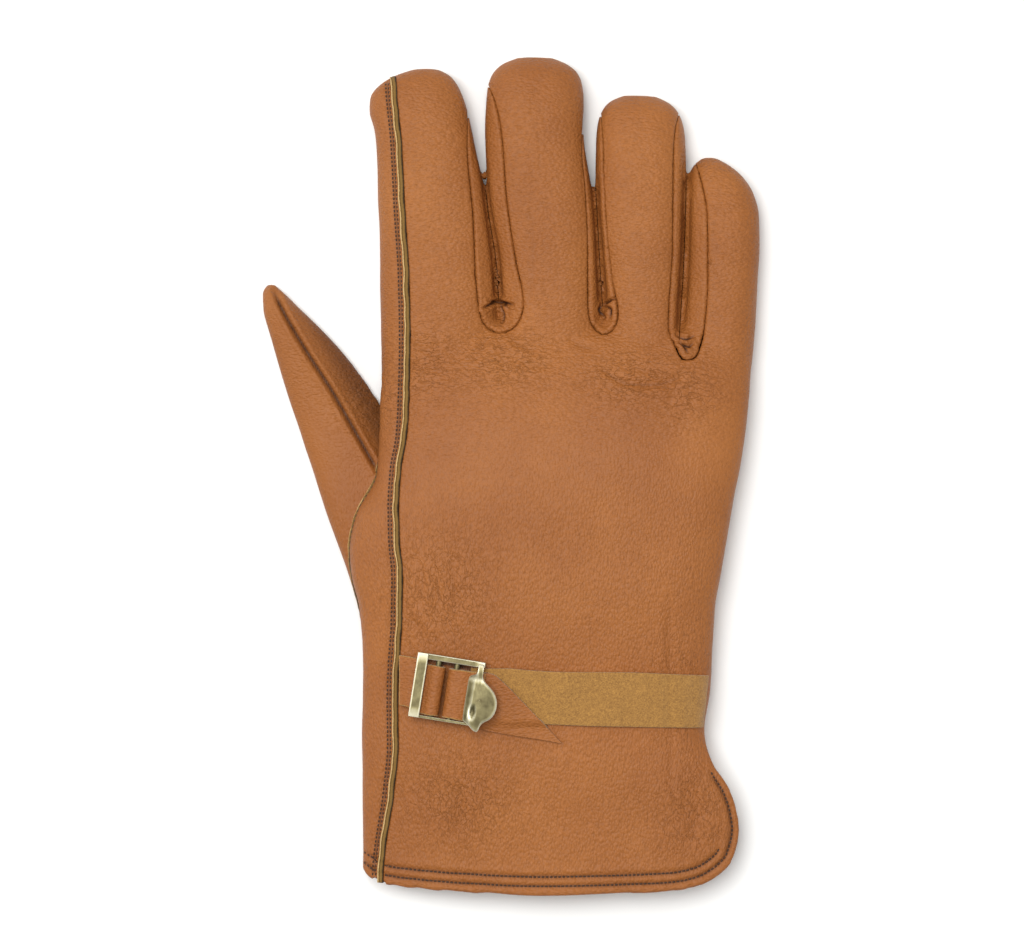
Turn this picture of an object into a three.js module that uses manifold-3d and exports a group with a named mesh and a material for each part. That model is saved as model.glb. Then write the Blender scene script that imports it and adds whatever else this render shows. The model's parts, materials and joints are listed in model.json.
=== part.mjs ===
import * as THREE from 'three';
import { mergeVertices } from 'three/addons/utils/BufferGeometryUtils.js';
import Module from 'manifold-3d';

// A right-hand leather driving glove lying palm down. X runs across to the little
// finger, Y from the cuff to the fingertips, Z up out of the back of the hand.

// Driving sizes in millimetres
const gloveLength = 245;
const handWidth = 111;
const palmDepth = 24;
const fingerDepth = 18;
const thumbDepth = 14;
const leather = 1.2;
const seamGap = 0.3;
const hemFold = 0.8;
const hemDepth = 7;
const restFlat = 1.3;
const webLift = 9.5;
const rootLift = 4.5;
const frontShare = 0.34;
const rawEdgeWidth = 2;
const rawEdgeHeight = 1;
const outseamSlit = 0.7;
const strapWidth = 15;
const strapThick = 1.3;
const buckleTurn = -9;
const rodRadius = 0.9;
const railWidth = 1.4;
const endBarWidth = 3.2;
const plateThick = 1.1;
const leverWidth = 9;
const leverLength = 19;
const railStart = -11.6;
const railLength = 20.8;
const sidesPalm = 30;
const sidesFinger = 18;

const across = (share) => share * handWidth;
const along = (share) => share * gloveLength;

// Sections of the hand from the cuff to the web between the fingers. y is a share of
// the glove's length, left and right shares of its width, high a share of palmDepth.
const palmRows = [
  { y: -0.030, left: -0.526, right: 0.500, high: 0.68 },
  { y: 0.029, left: -0.524, right: 0.500, high: 0.70 },
  { y: 0.076, left: -0.524, right: 0.500, high: 0.74 },
  { y: 0.124, left: -0.524, right: 0.474, high: 0.79 },
  { y: 0.160, left: -0.524, right: 0.412, high: 0.83 },
  { y: 0.195, left: -0.524, right: 0.376, high: 0.85 },
  { y: 0.243, left: -0.524, right: 0.392, high: 0.87 },
  { y: 0.291, left: -0.526, right: 0.397, high: 0.93 },
  { y: 0.338, left: -0.532, right: 0.405, high: 0.98 },
  { y: 0.380, left: -0.552, right: 0.421, high: 1.00 },
  { y: 0.412, left: -0.556, right: 0.432, high: 1.00 },
  { y: 0.452, left: -0.537, right: 0.447, high: 1.00 },
  { y: 0.499, left: -0.485, right: 0.466, high: 0.99 },
  { y: 0.553, left: -0.478, right: 0.484, high: 0.96 },
  { y: 0.601, left: -0.476, right: 0.496, high: 0.90 },
  { y: 0.640, left: -0.470, right: 0.500, high: 0.80 },
  { y: 0.664, left: -0.462, right: 0.488, high: 0.70 },
  { y: 0.682, left: -0.430, right: 0.460, high: 0.50 },
];

// Sections of each finger from inside the hand to its tip, high as a share of
// fingerDepth. The last rows round the tip off.
const fingerRows = {
  index: [
    { y: 0.565, left: -0.470, right: -0.172, high: 0.90 },
    { y: 0.636, left: -0.475, right: -0.168, high: 1.00 },
    { y: 0.708, left: -0.476, right: -0.170, high: 1.00 },
    { y: 0.768, left: -0.476, right: -0.179, high: 0.97 },
    { y: 0.839, left: -0.482, right: -0.203, high: 0.94 },
    { y: 0.887, left: -0.487, right: -0.226, high: 0.91 },
    { y: 0.911, left: -0.493, right: -0.237, high: 0.89 },
    { y: 0.934, left: -0.506, right: -0.247, high: 0.85 },
    { y: 0.950, left: -0.504, right: -0.258, high: 0.80 },
    { y: 0.964, left: -0.482, right: -0.271, high: 0.73 },
    { y: 0.976, left: -0.440, right: -0.289, high: 0.62 },
    { y: 0.985, left: -0.389, right: -0.321, high: 0.45 },
  ],
  middle: [
    { y: 0.565, left: -0.152, right: 0.095, high: 0.90 },
    { y: 0.636, left: -0.154, right: 0.103, high: 1.00 },
    { y: 0.708, left: -0.161, right: 0.103, high: 1.00 },
    { y: 0.768, left: -0.172, right: 0.095, high: 0.99 },
    { y: 0.839, left: -0.194, right: 0.080, high: 0.97 },
    { y: 0.911, left: -0.199, right: 0.060, high: 0.93 },
    { y: 0.944, left: -0.197, right: 0.059, high: 0.88 },
    { y: 0.962, left: -0.193, right: 0.056, high: 0.82 },
    { y: 0.977, left: -0.182, right: 0.046, high: 0.74 },
    { y: 0.989, left: -0.159, right: 0.021, high: 0.60 },
    { y: 0.998, left: -0.116, right: -0.021, high: 0.42 },
  ],
  ring: [
    { y: 0.565, left: 0.108, right: 0.305, high: 0.90 },
    { y: 0.636, left: 0.111, right: 0.315, high: 0.98 },
    { y: 0.708, left: 0.111, right: 0.320, high: 0.98 },
    { y: 0.768, left: 0.103, right: 0.328, high: 0.97 },
    { y: 0.839, left: 0.090, right: 0.329, high: 0.95 },
    { y: 0.895, left: 0.092, right: 0.327, high: 0.90 },
    { y: 0.916, left: 0.096, right: 0.322, high: 0.84 },
    { y: 0.931, left: 0.106, right: 0.311, high: 0.76 },
    { y: 0.943, left: 0.126, right: 0.290, high: 0.62 },
    { y: 0.952, left: 0.166, right: 0.252, high: 0.44 },
  ],
  little: [
    { y: 0.565, left: 0.316, right: 0.480, high: 0.86 },
    { y: 0.636, left: 0.320, right: 0.503, high: 0.92 },
    { y: 0.708, left: 0.325, right: 0.516, high: 0.92 },
    { y: 0.768, left: 0.333, right: 0.523, high: 0.90 },
    { y: 0.809, left: 0.334, right: 0.522, high: 0.86 },
    { y: 0.834, left: 0.335, right: 0.508, high: 0.80 },
    { y: 0.854, left: 0.339, right: 0.482, high: 0.71 },
    { y: 0.869, left: 0.352, right: 0.445, high: 0.58 },
    { y: 0.878, left: 0.376, right: 0.410, high: 0.42 },
  ],
};

// The thumb's sections from its tip to its rounded root under the palm. Each has the
// ends of its width in the plan and its top as a share of thumbDepth.
const thumbRows = [
  { leftX: -0.780, leftY: 0.722, rightX: -0.736, rightY: 0.720, high: 0.36 },
  { leftX: -0.782, leftY: 0.697, rightX: -0.682, rightY: 0.697, high: 0.56 },
  { leftX: -0.758, leftY: 0.646, rightX: -0.573, rightY: 0.642, high: 0.66 },
  { leftX: -0.718, leftY: 0.584, rightX: -0.484, rightY: 0.588, high: 0.66 },
  { leftX: -0.655, leftY: 0.504, rightX: -0.418, rightY: 0.527, high: 0.68 },
  { leftX: -0.611, leftY: 0.443, rightX: -0.366, rightY: 0.454, high: 0.82 },
  { leftX: -0.566, leftY: 0.384, rightX: -0.295, rightY: 0.397, high: 0.95 },
  { leftX: -0.532, leftY: 0.336, rightX: -0.232, rightY: 0.350, high: 1.00 },
  { leftX: -0.497, leftY: 0.288, rightX: -0.180, rightY: 0.310, high: 0.95 },
  { leftX: -0.453, leftY: 0.253, rightX: -0.178, rightY: 0.276, high: 0.80 },
  { leftX: -0.382, leftY: 0.231, rightX: -0.232, rightY: 0.248, high: 0.55 },
];

// Seams in the plan as [share of width, share of length]: each side wall between two
// fingers runs from one fingertip down its seam, round the web and up the other seam.
const sideWallSeams = {
  index_middle: [
    [-0.235, 0.960], [-0.245, 0.900], [-0.229, 0.803], [-0.224, 0.751], [-0.216, 0.702],
    [-0.204, 0.681], [-0.179, 0.671], [-0.158, 0.669], [-0.130, 0.673], [-0.110, 0.684],
    [-0.100, 0.702], [-0.121, 0.751], [-0.145, 0.825], [-0.158, 0.900], [-0.187, 0.960],
  ],
  middle_ring: [
    [0.049, 0.946], [0.055, 0.887], [0.065, 0.839], [0.073, 0.751], [0.073, 0.702],
    [0.080, 0.681], [0.095, 0.671], [0.111, 0.667], [0.128, 0.670], [0.143, 0.680],
    [0.147, 0.690], [0.129, 0.732], [0.113, 0.821], [0.105, 0.934], [0.103, 0.946],
  ],
  ring_little: [
    [0.306, 0.930], [0.298, 0.881], [0.295, 0.769], [0.284, 0.676], [0.300, 0.650],
    [0.321, 0.636], [0.347, 0.637], [0.371, 0.663], [0.384, 0.739], [0.382, 0.807],
    [0.355, 0.866], [0.330, 0.930],
  ],
};

// The seam between the palm leather, which wraps over the index side, and the back.
const outseam = [
  [-0.476, 0.029], [-0.447, 0.124], [-0.436, 0.179], [-0.437, 0.234], [-0.434, 0.271],
  [-0.426, 0.322], [-0.424, 0.378], [-0.432, 0.421], [-0.434, 0.462], [-0.429, 0.504],
  [-0.413, 0.547], [-0.408, 0.589], [-0.405, 0.659], [-0.408, 0.735], [-0.418, 0.807],
  [-0.429, 0.899], [-0.441, 0.952],
];

// The cuff's outline: the hem with its rounded corners and the short vent that opens
// the little-finger side below the strap.
const cuffOutline = [
  [-0.560, 0.060], [-0.522, 0.032], [-0.508, 0.018], [-0.482, 0.010], [-0.400, 0.006],
  [-0.266, 0.002], [-0.053, 0.000], [0.158, 0.002], [0.297, 0.005], [0.368, 0.012],
  [0.421, 0.026], [0.453, 0.043], [0.470, 0.076], [0.463, 0.100], [0.445, 0.124],
  [0.413, 0.148], [0.392, 0.165],
];

// Where the fronts of the middle and ring fingers are sewn to the palm, and the almond
// of leather let in beside the thumb.
const middleBase = 0.633;
const ringBase = { left: 0.633, right: 0.604 };
const gussetOutline = [
  [-0.392, 0.500], [-0.342, 0.494], [-0.295, 0.470], [-0.224, 0.434], [-0.176, 0.396],
  [-0.155, 0.354], [-0.150, 0.317], [-0.172, 0.306], [-0.250, 0.360], [-0.340, 0.440],
];

// The stretch of the thumb's outline along which its seam shows a raw edge, counted
// along the thumb's right side from the tip and back up its left side.
const thumbEdgeRows = [5, 14];

const wasm = await Module();
wasm.setup();

const clamp01 = (value) => Math.min(1, Math.max(0, value));
const ease = (value) => THREE.MathUtils.smoothstep(value, 0, 1);

// Height of the palm's underside: flat on the surface, lifted over the thumb's root
// and more over the web where the thumb passes under the hand.
function undersideAt(x, y) {
  const sx = x / handWidth;
  const sy = y / gloveLength;
  const web = webLift * ease(1 - (sx + 0.46) / 0.18) * ease(1 - Math.abs(sy - 0.556) / 0.125);
  const rootAcross = ease((-0.055 - sx) / 0.09);
  const rootAlong = ease((sy - 0.165) / 0.075) * ease((0.62 - sy) / 0.12);
  return Math.max(web, rootLift * rootAcross * rootAlong);
}

// One section of a tube: a squarish oval between two points of the plan, cut flat
// where it would go below the underside.
function sectionRing(row, sides, square, inset, flatten) {
  const left = new THREE.Vector2(...row.left);
  const right = new THREE.Vector2(...row.right);
  const centre = left.clone().add(right).multiplyScalar(0.5);
  const reach = right.clone().sub(centre);
  const halfWidth = reach.length() - inset;
  reach.normalize();
  const middle = (row.high - restFlat) / 2;
  const halfDepth = (row.high + restFlat) / 2 - inset;
  const crowding = Math.sqrt(halfWidth / halfDepth);
  const ring = [];
  for (let i = 0; i < sides; i += 1) {
    const step = (2 * Math.PI * i) / sides;
    const out = new THREE.Vector2(Math.cos(step), crowding * Math.sin(step));
    out.divideScalar((Math.abs(out.x) ** square + Math.abs(out.y) ** square) ** (1 / square));
    const x = centre.x + reach.x * halfWidth * out.x;
    const y = centre.y + reach.y * halfWidth * out.x;
    const rise = middle + halfDepth * out.y;
    ring.push([x, y, Math.max(rise, flatten(x, y) + Math.max(inset, -seamGap))]);
  }
  return ring;
}

function solidFrom(points, triangles) {
  const make = (list) => new wasm.Manifold(new wasm.Mesh({
    numProp: 3,
    vertProperties: new Float32Array(points.flat()),
    triVerts: new Uint32Array(list.flat()),
  }));
  const solid = make(triangles);
  if (solid.volume() > 0) return solid;
  return make(triangles.map(([a, b, c]) => [a, c, b]));
}

// A closed solid through a row of rings that all have the same number of points.
function loft(rings) {
  const sides = rings[0].length;
  const points = rings.flat();
  const triangles = [];
  for (let r = 0; r < rings.length - 1; r += 1) {
    for (let i = 0; i < sides; i += 1) {
      const next = (i + 1) % sides;
      const here = r * sides;
      const there = here + sides;
      triangles.push([here + i, here + next, there + next], [here + i, there + next, there + i]);
    }
  }
  const capEnd = (ring, base, flip) => {
    const centre = points.length;
    points.push([0, 1, 2].map((k) => ring.reduce((sum, p) => sum + p[k], 0) / sides));
    for (let i = 0; i < sides; i += 1) {
      const next = (i + 1) % sides;
      triangles.push(flip ? [centre, base + next, base + i] : [centre, base + i, base + next]);
    }
  };
  capEnd(rings[0], 0, true);
  capEnd(rings.at(-1), (rings.length - 1) * sides, false);
  return solidFrom(points, triangles);
}

// A geometry of three.js as a solid.
function solidOf(geometry) {
  geometry.deleteAttribute('normal');
  geometry.deleteAttribute('uv');
  const merged = mergeVertices(geometry, 1e-4);
  const position = merged.getAttribute('position');
  const points = [];
  for (let i = 0; i < position.count; i += 1) {
    points.push([position.getX(i), position.getY(i), position.getZ(i)]);
  }
  const triangles = [];
  for (let i = 0; i < merged.index.count; i += 3) {
    triangles.push([0, 1, 2].map((k) => merged.index.getX(i + k)));
  }
  return solidFrom(points, triangles);
}

// An outline of the plan as an upright block from one height to another.
function block(outline, bottom, top) {
  const shape = new THREE.Shape(outline.map(([x, y]) => new THREE.Vector2(x, y)));
  const geometry = new THREE.ExtrudeGeometry(shape, { depth: top - bottom, bevelEnabled: false });
  return solidOf(geometry.translate(0, 0, bottom));
}

const planOf = (outline) => outline.map(([x, y]) => [across(x), along(y)]);

// The same outline moved outwards by a distance.
function grown(outline, distance) {
  const points = outline.map(([x, y]) => new THREE.Vector2(x, y));
  const turn = Math.sign(THREE.ShapeUtils.area(points)) * distance;
  return points.map((point, i) => {
    const into = point.clone().sub(points.at(i - 1)).normalize();
    const out = points[(i + 1) % points.length].clone().sub(point).normalize();
    const share = turn / (1 + into.dot(out));
    return [point.x + (into.y + out.y) * share, point.y - (into.x + out.x) * share];
  });
}

// The hand and the four fingers as tubes at a distance inside their outer surface.
const handSquare = 3;
const fingerSquare = 2.5;
const thumbSquare = 2.4;
const flatOnSurface = () => 0;

function palmSection(row, inset) {
  const fold = inset > 0 && along(row.y) < hemDepth ? hemFold : 0;
  const plan = {
    left: [across(row.left), along(row.y)],
    right: [across(row.right), along(row.y)],
    high: row.high * palmDepth,
  };
  return sectionRing(plan, sidesPalm, handSquare, inset + fold, undersideAt);
}

function palmTube(inset) {
  const rings = palmRows.map((row) => palmSection(row, inset));
  if (inset > 0) {
    const webBack = Math.max(inset, leather);
    rings[0].forEach((point) => { point[1] -= webBack; });
    for (const ring of rings.slice(-3)) ring.forEach((point) => { point[1] -= webBack; });
  }
  return loft(rings);
}

function fingerTube(rows, inset) {
  const tipStart = rows.at(-5).y;
  const tipEnd = rows.at(-1).y;
  const rings = [];
  for (const row of rows) {
    const tipness = clamp01((row.y - tipStart) / (tipEnd - tipStart));
    const y = along(row.y) - inset * tipness;
    const plan = {
      left: [across(row.left), y],
      right: [across(row.right), y],
      high: row.high * fingerDepth,
    };
    const fits = across(row.right - row.left) > 4 * inset && plan.high > 5 * inset;
    if (fits) rings.push(sectionRing(plan, sidesFinger, fingerSquare, inset, undersideAt));
  }
  return loft(rings);
}

function thumbTube(inset) {
  const rings = [];
  const root = thumbRows.length - 1;
  thumbRows.forEach((row, i) => {
    const plan = {
      left: [across(row.leftX), along(row.leftY)],
      right: [across(row.rightX), along(row.rightY)],
      high: row.high * thumbDepth,
    };
    const shift = inset * (i < 2 ? -1 : 0) + inset * (i > root - 2 ? 1 : 0);
    plan.left[1] += shift;
    plan.right[1] += shift;
    const fits = inset <= 0 || (i > 0 && i < root);
    if (fits) rings.push(sectionRing(plan, sidesFinger, thumbSquare, inset, flatOnSurface));
  });
  return loft(rings);
}

const handSolid = (inset) => Object.values(fingerRows)
  .map((rows) => fingerTube(rows, inset))
  .reduce((solid, finger) => solid.add(finger), palmTube(inset));

// The height of the back of the glove above a point of the plan.
function rowAt(rows, y) {
  const sy = y / gloveLength;
  const i = rows.findIndex((row) => row.y >= sy);
  if (i < 1) return null;
  const share = (sy - rows[i - 1].y) / (rows[i].y - rows[i - 1].y);
  const mix = (key) => THREE.MathUtils.lerp(rows[i - 1][key], rows[i][key], share);
  return { left: across(mix('left')), right: across(mix('right')), high: mix('high') };
}

function tubeTop(rows, depth, square, x, y) {
  const row = rowAt(rows, y);
  if (!row) return 0;
  const centre = (row.left + row.right) / 2;
  const reach = Math.abs(x - centre) / ((row.right - row.left) / 2);
  if (reach >= 1) return 0;
  const high = row.high * depth;
  return (high - restFlat) / 2 + ((high + restFlat) / 2) * (1 - reach ** square) ** (1 / square);
}

const backHeight = (x, y) => Math.max(
  tubeTop(palmRows, palmDepth, handSquare, x, y),
  ...Object.values(fingerRows).map((rows) => tubeTop(rows, fingerDepth, fingerSquare, x, y)),
);

// A band lying on a surface: stations across its length, each with its two edges in
// the plan, raised by lift and as thick as given.
function bandOn(heightAt, stations, lift, thick) {
  const rings = stations.map(([[ax, ay], [bx, by]]) => {
    const ring = [];
    const shares = [0, 0.5, 1];
    for (const t of shares) {
      const x = THREE.MathUtils.lerp(ax, bx, t);
      const y = THREE.MathUtils.lerp(ay, by, t);
      ring.push([x, y, heightAt(x, y) + lift]);
    }
    const upper = ring.map(([x, y, z]) => [x, y, z + thick]).reverse();
    return ring.concat(upper);
  });
  return loft(rings);
}

// Both edges of a band that follows a line of the plan.
function edgesAlong(line, width) {
  return line.map((point, i) => {
    const before = line[Math.max(0, i - 1)];
    const after = line[Math.min(line.length - 1, i + 1)];
    const dx = after[0] - before[0];
    const dy = after[1] - before[1];
    const length = Math.hypot(dx, dy);
    const nx = (-dy / length) * (width / 2);
    const ny = (dx / length) * (width / 2);
    return [[point[0] - nx, point[1] - ny], [point[0] + nx, point[1] + ny]];
  });
}

// The shell of the hand, open at the cuff
const farAside = handWidth;
const farUp = 3 * palmDepth;
const farOff = 2 * gloveLength;
const belowAll = -2 * seamGap;
const cuffCut = planOf(cuffOutline);
const cuffRim = [[-farAside, along(0.06)], ...cuffCut, [farAside, along(0.165)],
  [farAside, farOff], [-farAside, farOff]];
const shell = handSolid(0).subtract(handSolid(leather)).intersect(block(cuffRim, belowAll, farUp));

// Blocks of space that share the shell out among the leather pieces
const thumbRoom = thumbTube(-seamGap);
const wallRooms = Object.fromEntries(Object.entries(sideWallSeams)
  .map(([name, seam]) => [name, planOf(seam)]));
const frontTop = frontShare * fingerDepth;
const bigPlan = [[-farAside, -farAside], [farAside, -farAside], [farAside, farOff],
  [-farAside, farOff]];
const lowerRoom = block(bigPlan, belowAll, frontTop - seamGap / 2);
const webPlan = planOf([[-0.5, 0.44], [-0.27, 0.44], [-0.27, 0.67], [-0.5, 0.67]]);
const webTop = webLift + leather + 2 * seamGap;
const lowerAndWeb = lowerRoom.add(block(webPlan, belowAll, webTop));
const upperRoom = block(bigPlan, frontTop + seamGap / 2, farUp)
  .subtract(block(grown(webPlan, seamGap), belowAll, webTop + seamGap));
const seamLine = planOf(outseam);
const sideOfSeam = (shift) => {
  const line = seamLine.map(([x, y]) => [x + shift, y]);
  const top = line.at(-1);
  return block([[-farAside, -farAside], [line[0][0], -farAside], ...line,
    [top[0], farOff], [-farAside, farOff]], belowAll, farUp);
};
const indexSide = sideOfSeam(-outseamSlit / 2);
const indexSideAndSlit = sideOfSeam(outseamSlit / 2);

const sideWalls = Object.fromEntries(Object.entries(wallRooms)
  .map(([name, outline]) => [name, shell.intersect(block(outline, belowAll, farUp))]));
let withoutWalls = shell;
for (const outline of Object.values(wallRooms)) {
  withoutWalls = withoutWalls.subtract(block(grown(outline, seamGap), belowAll, farUp));
}

const backShell = withoutWalls.intersect(upperRoom).subtract(indexSideAndSlit);

const betweenX = (name) => {
  const xs = wallRooms[name].map(([x]) => x);
  return (Math.min(...xs) + Math.max(...xs)) / 2;
};
const middleFrontPlan = [
  [betweenX('index_middle'), along(middleBase)], [betweenX('middle_ring'), along(middleBase)],
  [betweenX('middle_ring') - across(0.015), farOff],
  [betweenX('index_middle') - across(0.035), farOff],
];
const ringFrontPlan = [
  [betweenX('middle_ring'), along(ringBase.left)],
  [betweenX('ring_little'), along(ringBase.right)],
  [betweenX('ring_little'), farOff], [betweenX('middle_ring'), farOff],
];
const frontOf = (plan) => withoutWalls.intersect(lowerRoom).intersect(block(plan, belowAll, farUp));
const middleFront = frontOf(grown(middleFrontPlan, -seamGap / 2));
const ringFront = frontOf(grown(ringFrontPlan, -seamGap / 2));

const gussetPlan = planOf(gussetOutline);
const palmAndSide = withoutWalls.intersect(lowerAndWeb.add(indexSide))
  .subtract(block(grown(middleFrontPlan, seamGap / 2), belowAll, frontTop))
  .subtract(block(grown(ringFrontPlan, seamGap / 2), belowAll, frontTop))
  .subtract(thumbRoom);
const gussetTop = rootLift + leather + seamGap;
const palmShell = palmAndSide.subtract(block(grown(gussetPlan, seamGap), belowAll, gussetTop));
const gusset = shell.subtract(thumbRoom).intersect(block(gussetPlan, belowAll, gussetTop));

const handRoom = handSolid(-seamGap);
const thumbShell = thumbTube(0).subtract(thumbTube(leather)).subtract(handRoom);

// Each piece keeps its largest body: slivers that a cut leaves are trimmed off.
function mainBody(solid) {
  const bodies = solid.decompose();
  return bodies.reduce((best, body) => (body.volume() > best.volume() ? body : best));
}

// Raw leather edges left standing along the outseam and round the thumb
const outseamEdge = bandOn(backHeight, edgesAlong(seamLine, rawEdgeWidth), seamGap, rawEdgeHeight)
  .subtract(handRoom);
const thumbPlan = thumbRows.map((row) => [row.rightX, row.rightY])
  .concat(thumbRows.map((row) => [row.leftX, row.leftY]).reverse());
const thumbEdgeLine = grown(planOf(thumbPlan), rawEdgeWidth / 2 + 2 * seamGap)
  .slice(thumbEdgeRows[0], thumbEdgeRows[1]);
const thumbEdge = bandOn(undersideAt, edgesAlong(thumbEdgeLine, rawEdgeWidth),
  -seamGap - rawEdgeHeight, rawEdgeHeight + leather).subtract(handRoom).subtract(thumbRoom);

// The buckle's seat: turned a little in the plan and tilted with the back under it
const buckleX = across(-0.282);
const buckleY = along(0.2443);
const buckleHalf = 11;
const turn = THREE.MathUtils.degToRad(buckleTurn);
const seatPoint = (u, v) => [
  buckleX + u * Math.cos(turn) - v * Math.sin(turn),
  buckleY + u * Math.sin(turn) + v * Math.cos(turn),
];
const seatHeight = (u, v) => backHeight(...seatPoint(u, v));
const tilt = Math.atan2(seatHeight(buckleHalf, 0) - seatHeight(-buckleHalf, 0), 2 * buckleHalf);
const bulge = [-1, -0.5, 0, 0.5, 1].flatMap((s) => [-1, 0, 1].map((t) => (
  seatHeight(s * buckleHalf, (t * strapWidth) / 2) - s * buckleHalf * Math.tan(tilt)
)));
const seatMatrix = new THREE.Matrix4()
  .makeRotationFromEuler(new THREE.Euler(0, -tilt, turn, 'ZYX'))
  .setPosition(buckleX, buckleY, Math.max(...bulge) + seamGap);

// A profile of distance along the strap and height, as a block across the strap
function acrossStrap(profile, width) {
  const shape = new THREE.Shape(profile.map(([u, w]) => new THREE.Vector2(u, w)));
  const geometry = new THREE.ExtrudeGeometry(shape, { depth: width, bevelEnabled: false });
  return geometry.translate(0, 0, -width / 2).rotateX(Math.PI / 2);
}

const seated = (geometry) => solidOf(geometry.applyMatrix4(seatMatrix));

const strapClear = 0.3;
const loopWidth = strapWidth - 2 * strapClear;
const loopRadius = rodRadius + strapClear + strapThick;
const rodHeight = loopRadius;
const firstRod = -5.1;
const secondRod = 0.9;
const hingeRod = 6.6;
const railAway = strapWidth / 2 + 2 * strapClear + railWidth / 2;
const arc = (u, w, radius, from, to, steps = 8) => Array.from({ length: steps + 1 }, (_, i) => {
  const angle = THREE.MathUtils.degToRad(from + ((to - from) * i) / steps);
  return [u + radius * Math.cos(angle), w + radius * Math.sin(angle)];
});

// Where leather meets a rod, in degrees round it
const overRod = 90;
const underRod = 270;
const wholeTurn = 360;

// The strap: suede side up from the little-finger seam, under the buckle, round the
// second rod and back over itself as a pointed tip.
const insideLoop = rodRadius + strapClear;
const strapRight = 12.6;
const strapUnder = strapRight - 4;
const strapOver = hingeRod + 0.4;
const tipLow = strapThick + strapClear;
const strapLoop = acrossStrap([
  [strapUnder, 0],
  ...arc(secondRod, rodHeight, loopRadius, underRod, overRod),
  [strapOver, 2 * loopRadius], [strapRight, tipLow + strapThick + strapClear],
  [strapRight, tipLow + strapClear], [strapOver, 2 * loopRadius - strapThick],
  ...arc(secondRod, rodHeight, insideLoop, overRod, underRod),
  [strapUnder, strapThick],
], loopWidth);

const strapSlant = 0.06;
const strapTopEdge = [
  [-0.220, 0.2700], [-0.150, 0.2690], [-0.090, 0.2680], [0.000, 0.2670], [0.080, 0.2655],
  [0.160, 0.2645], [0.230, 0.2630], [0.290, 0.2620], [0.330, 0.2612], [0.360, 0.2605],
  [0.380, 0.2600],
];
const strapRun = strapTopEdge.map(([x, y]) => {
  const top = [across(x), along(y)];
  return [top, [top[0] - strapSlant * strapWidth, top[1] - strapWidth]];
});
const strapBand = bandOn(backHeight, strapRun, seamGap, strapThick);

const tipRun = [
  [[-0.176, 0.2590], [-0.203, 0.1962]], [[-0.132, 0.2437], [-0.140, 0.1905]],
  [[-0.079, 0.2187], [-0.083, 0.1870]], [[-0.029, 0.1950], [-0.031, 0.1830]],
  [[-0.006, 0.1845], [-0.008, 0.1815]],
].map((station) => planOf(station));
const tipLift = seamGap + tipLow;
const strapTip = bandOn(backHeight, tipRun, tipLift, strapThick);
const wristStrap = strapBand.add(seated(strapLoop)).add(strapTip).subtract(handRoom);

// The tab: a doubled strip out of the outseam that holds the first rod
const tabLeft = -14.6;
const tabBend = -10;
const tabFold = -8.4;
const tabHoleSides = 12;
const tabDrop = seatHeight(tabLeft, 0) - Math.max(...bulge) - tabLeft * Math.tan(tilt);
const tabLoop = acrossStrap([
  [tabLeft, tabDrop],
  [tabBend, 0],
  ...arc(firstRod, rodHeight, loopRadius, underRod, overRod + wholeTurn),
  [firstRod - loopRadius, 2 * loopRadius - strapThick], [tabFold, 2 * strapThick],
  [tabBend, 2 * strapThick], [tabLeft, tabDrop + 2 * strapThick],
], loopWidth);
const tabHoleArc = arc(firstRod, rodHeight, insideLoop, 0, wholeTurn, tabHoleSides).slice(1);
const tabHole = acrossStrap(tabHoleArc, 2 * strapWidth);
const strapTab = seated(tabLoop).subtract(seated(tabHole)).subtract(handRoom);

// The buckle frame: two side rails, the broad end bar and the rods
function rod(u, radius, height, length) {
  return new THREE.CylinderGeometry(radius, radius, length, 12).translate(u, 0, height);
}

const railMiddle = railStart + railLength / 2;
const endBarHeight = 2 * strapThick + strapClear + plateThick / 2;
const rails = [-railAway, railAway].map((v) => (
  solidOf(new THREE.BoxGeometry(railLength, railWidth, 2 * rodRadius).translate(railMiddle, v, rodHeight))
));
const rodLength = 2 * railAway;
const frameSolid = [firstRod, secondRod]
  .map((u) => solidOf(rod(u, rodRadius, rodHeight, rodLength)))
  .concat(rails)
  .concat(solidOf(rod(hingeRod, rodRadius * 0.8, rodHeight, rodLength)))
  .concat(solidOf(new THREE.BoxGeometry(endBarWidth, rodLength + railWidth, plateThick)
    .translate(railStart + endBarWidth / 2, 0, endBarHeight)))
  .reduce((solid, piece) => solid.add(piece));

// The lever plate with its wavy outline, lying clamped on the strap
const leverLeft = hingeRod - 0.4 * leverWidth;
const leverPoint = (share, up) => [leverLeft + share * leverWidth, up * leverLength];
const leverOutline = new THREE.Shape();
leverOutline.moveTo(...leverPoint(0, 0.29));
leverOutline.lineTo(...leverPoint(0.47, 0.45));
for (const [first, second, end] of [
  [[0.56, 0.35], [0.62, 0.33], [0.73, 0.26]],
  [[0.91, 0.18], [0.82, 0.08], [0.93, -0.02]],
  [[1.09, -0.16], [0.96, -0.26], [0.76, -0.34]],
  [[0.60, -0.40], [0.56, -0.51], [0.33, -0.55]],
  [[0.13, -0.54], [0.07, -0.48], [0, -0.44]],
]) {
  const curve = [first, second, end].flatMap(([share, up]) => leverPoint(share, up));
  leverOutline.bezierCurveTo(...curve);
}
const leverHeight = 2 * loopRadius + strapClear;
const leverPlate = new THREE.ExtrudeGeometry(leverOutline, {
  depth: plateThick, bevelEnabled: false, curveSegments: 5,
}).translate(0, 0, leverHeight);
const earBottom = rodHeight + rodRadius + strapClear;
const earWidth = 0.27 * leverWidth;
const leverEar = new THREE.BoxGeometry(earWidth, railWidth, leverHeight + plateThick / 2 - earBottom)
  .translate(leverLeft + earWidth / 2, -railAway, (leverHeight + plateThick / 2 + earBottom) / 2);
const leverSolid = solidOf(leverPlate).add(solidOf(leverEar));

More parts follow.
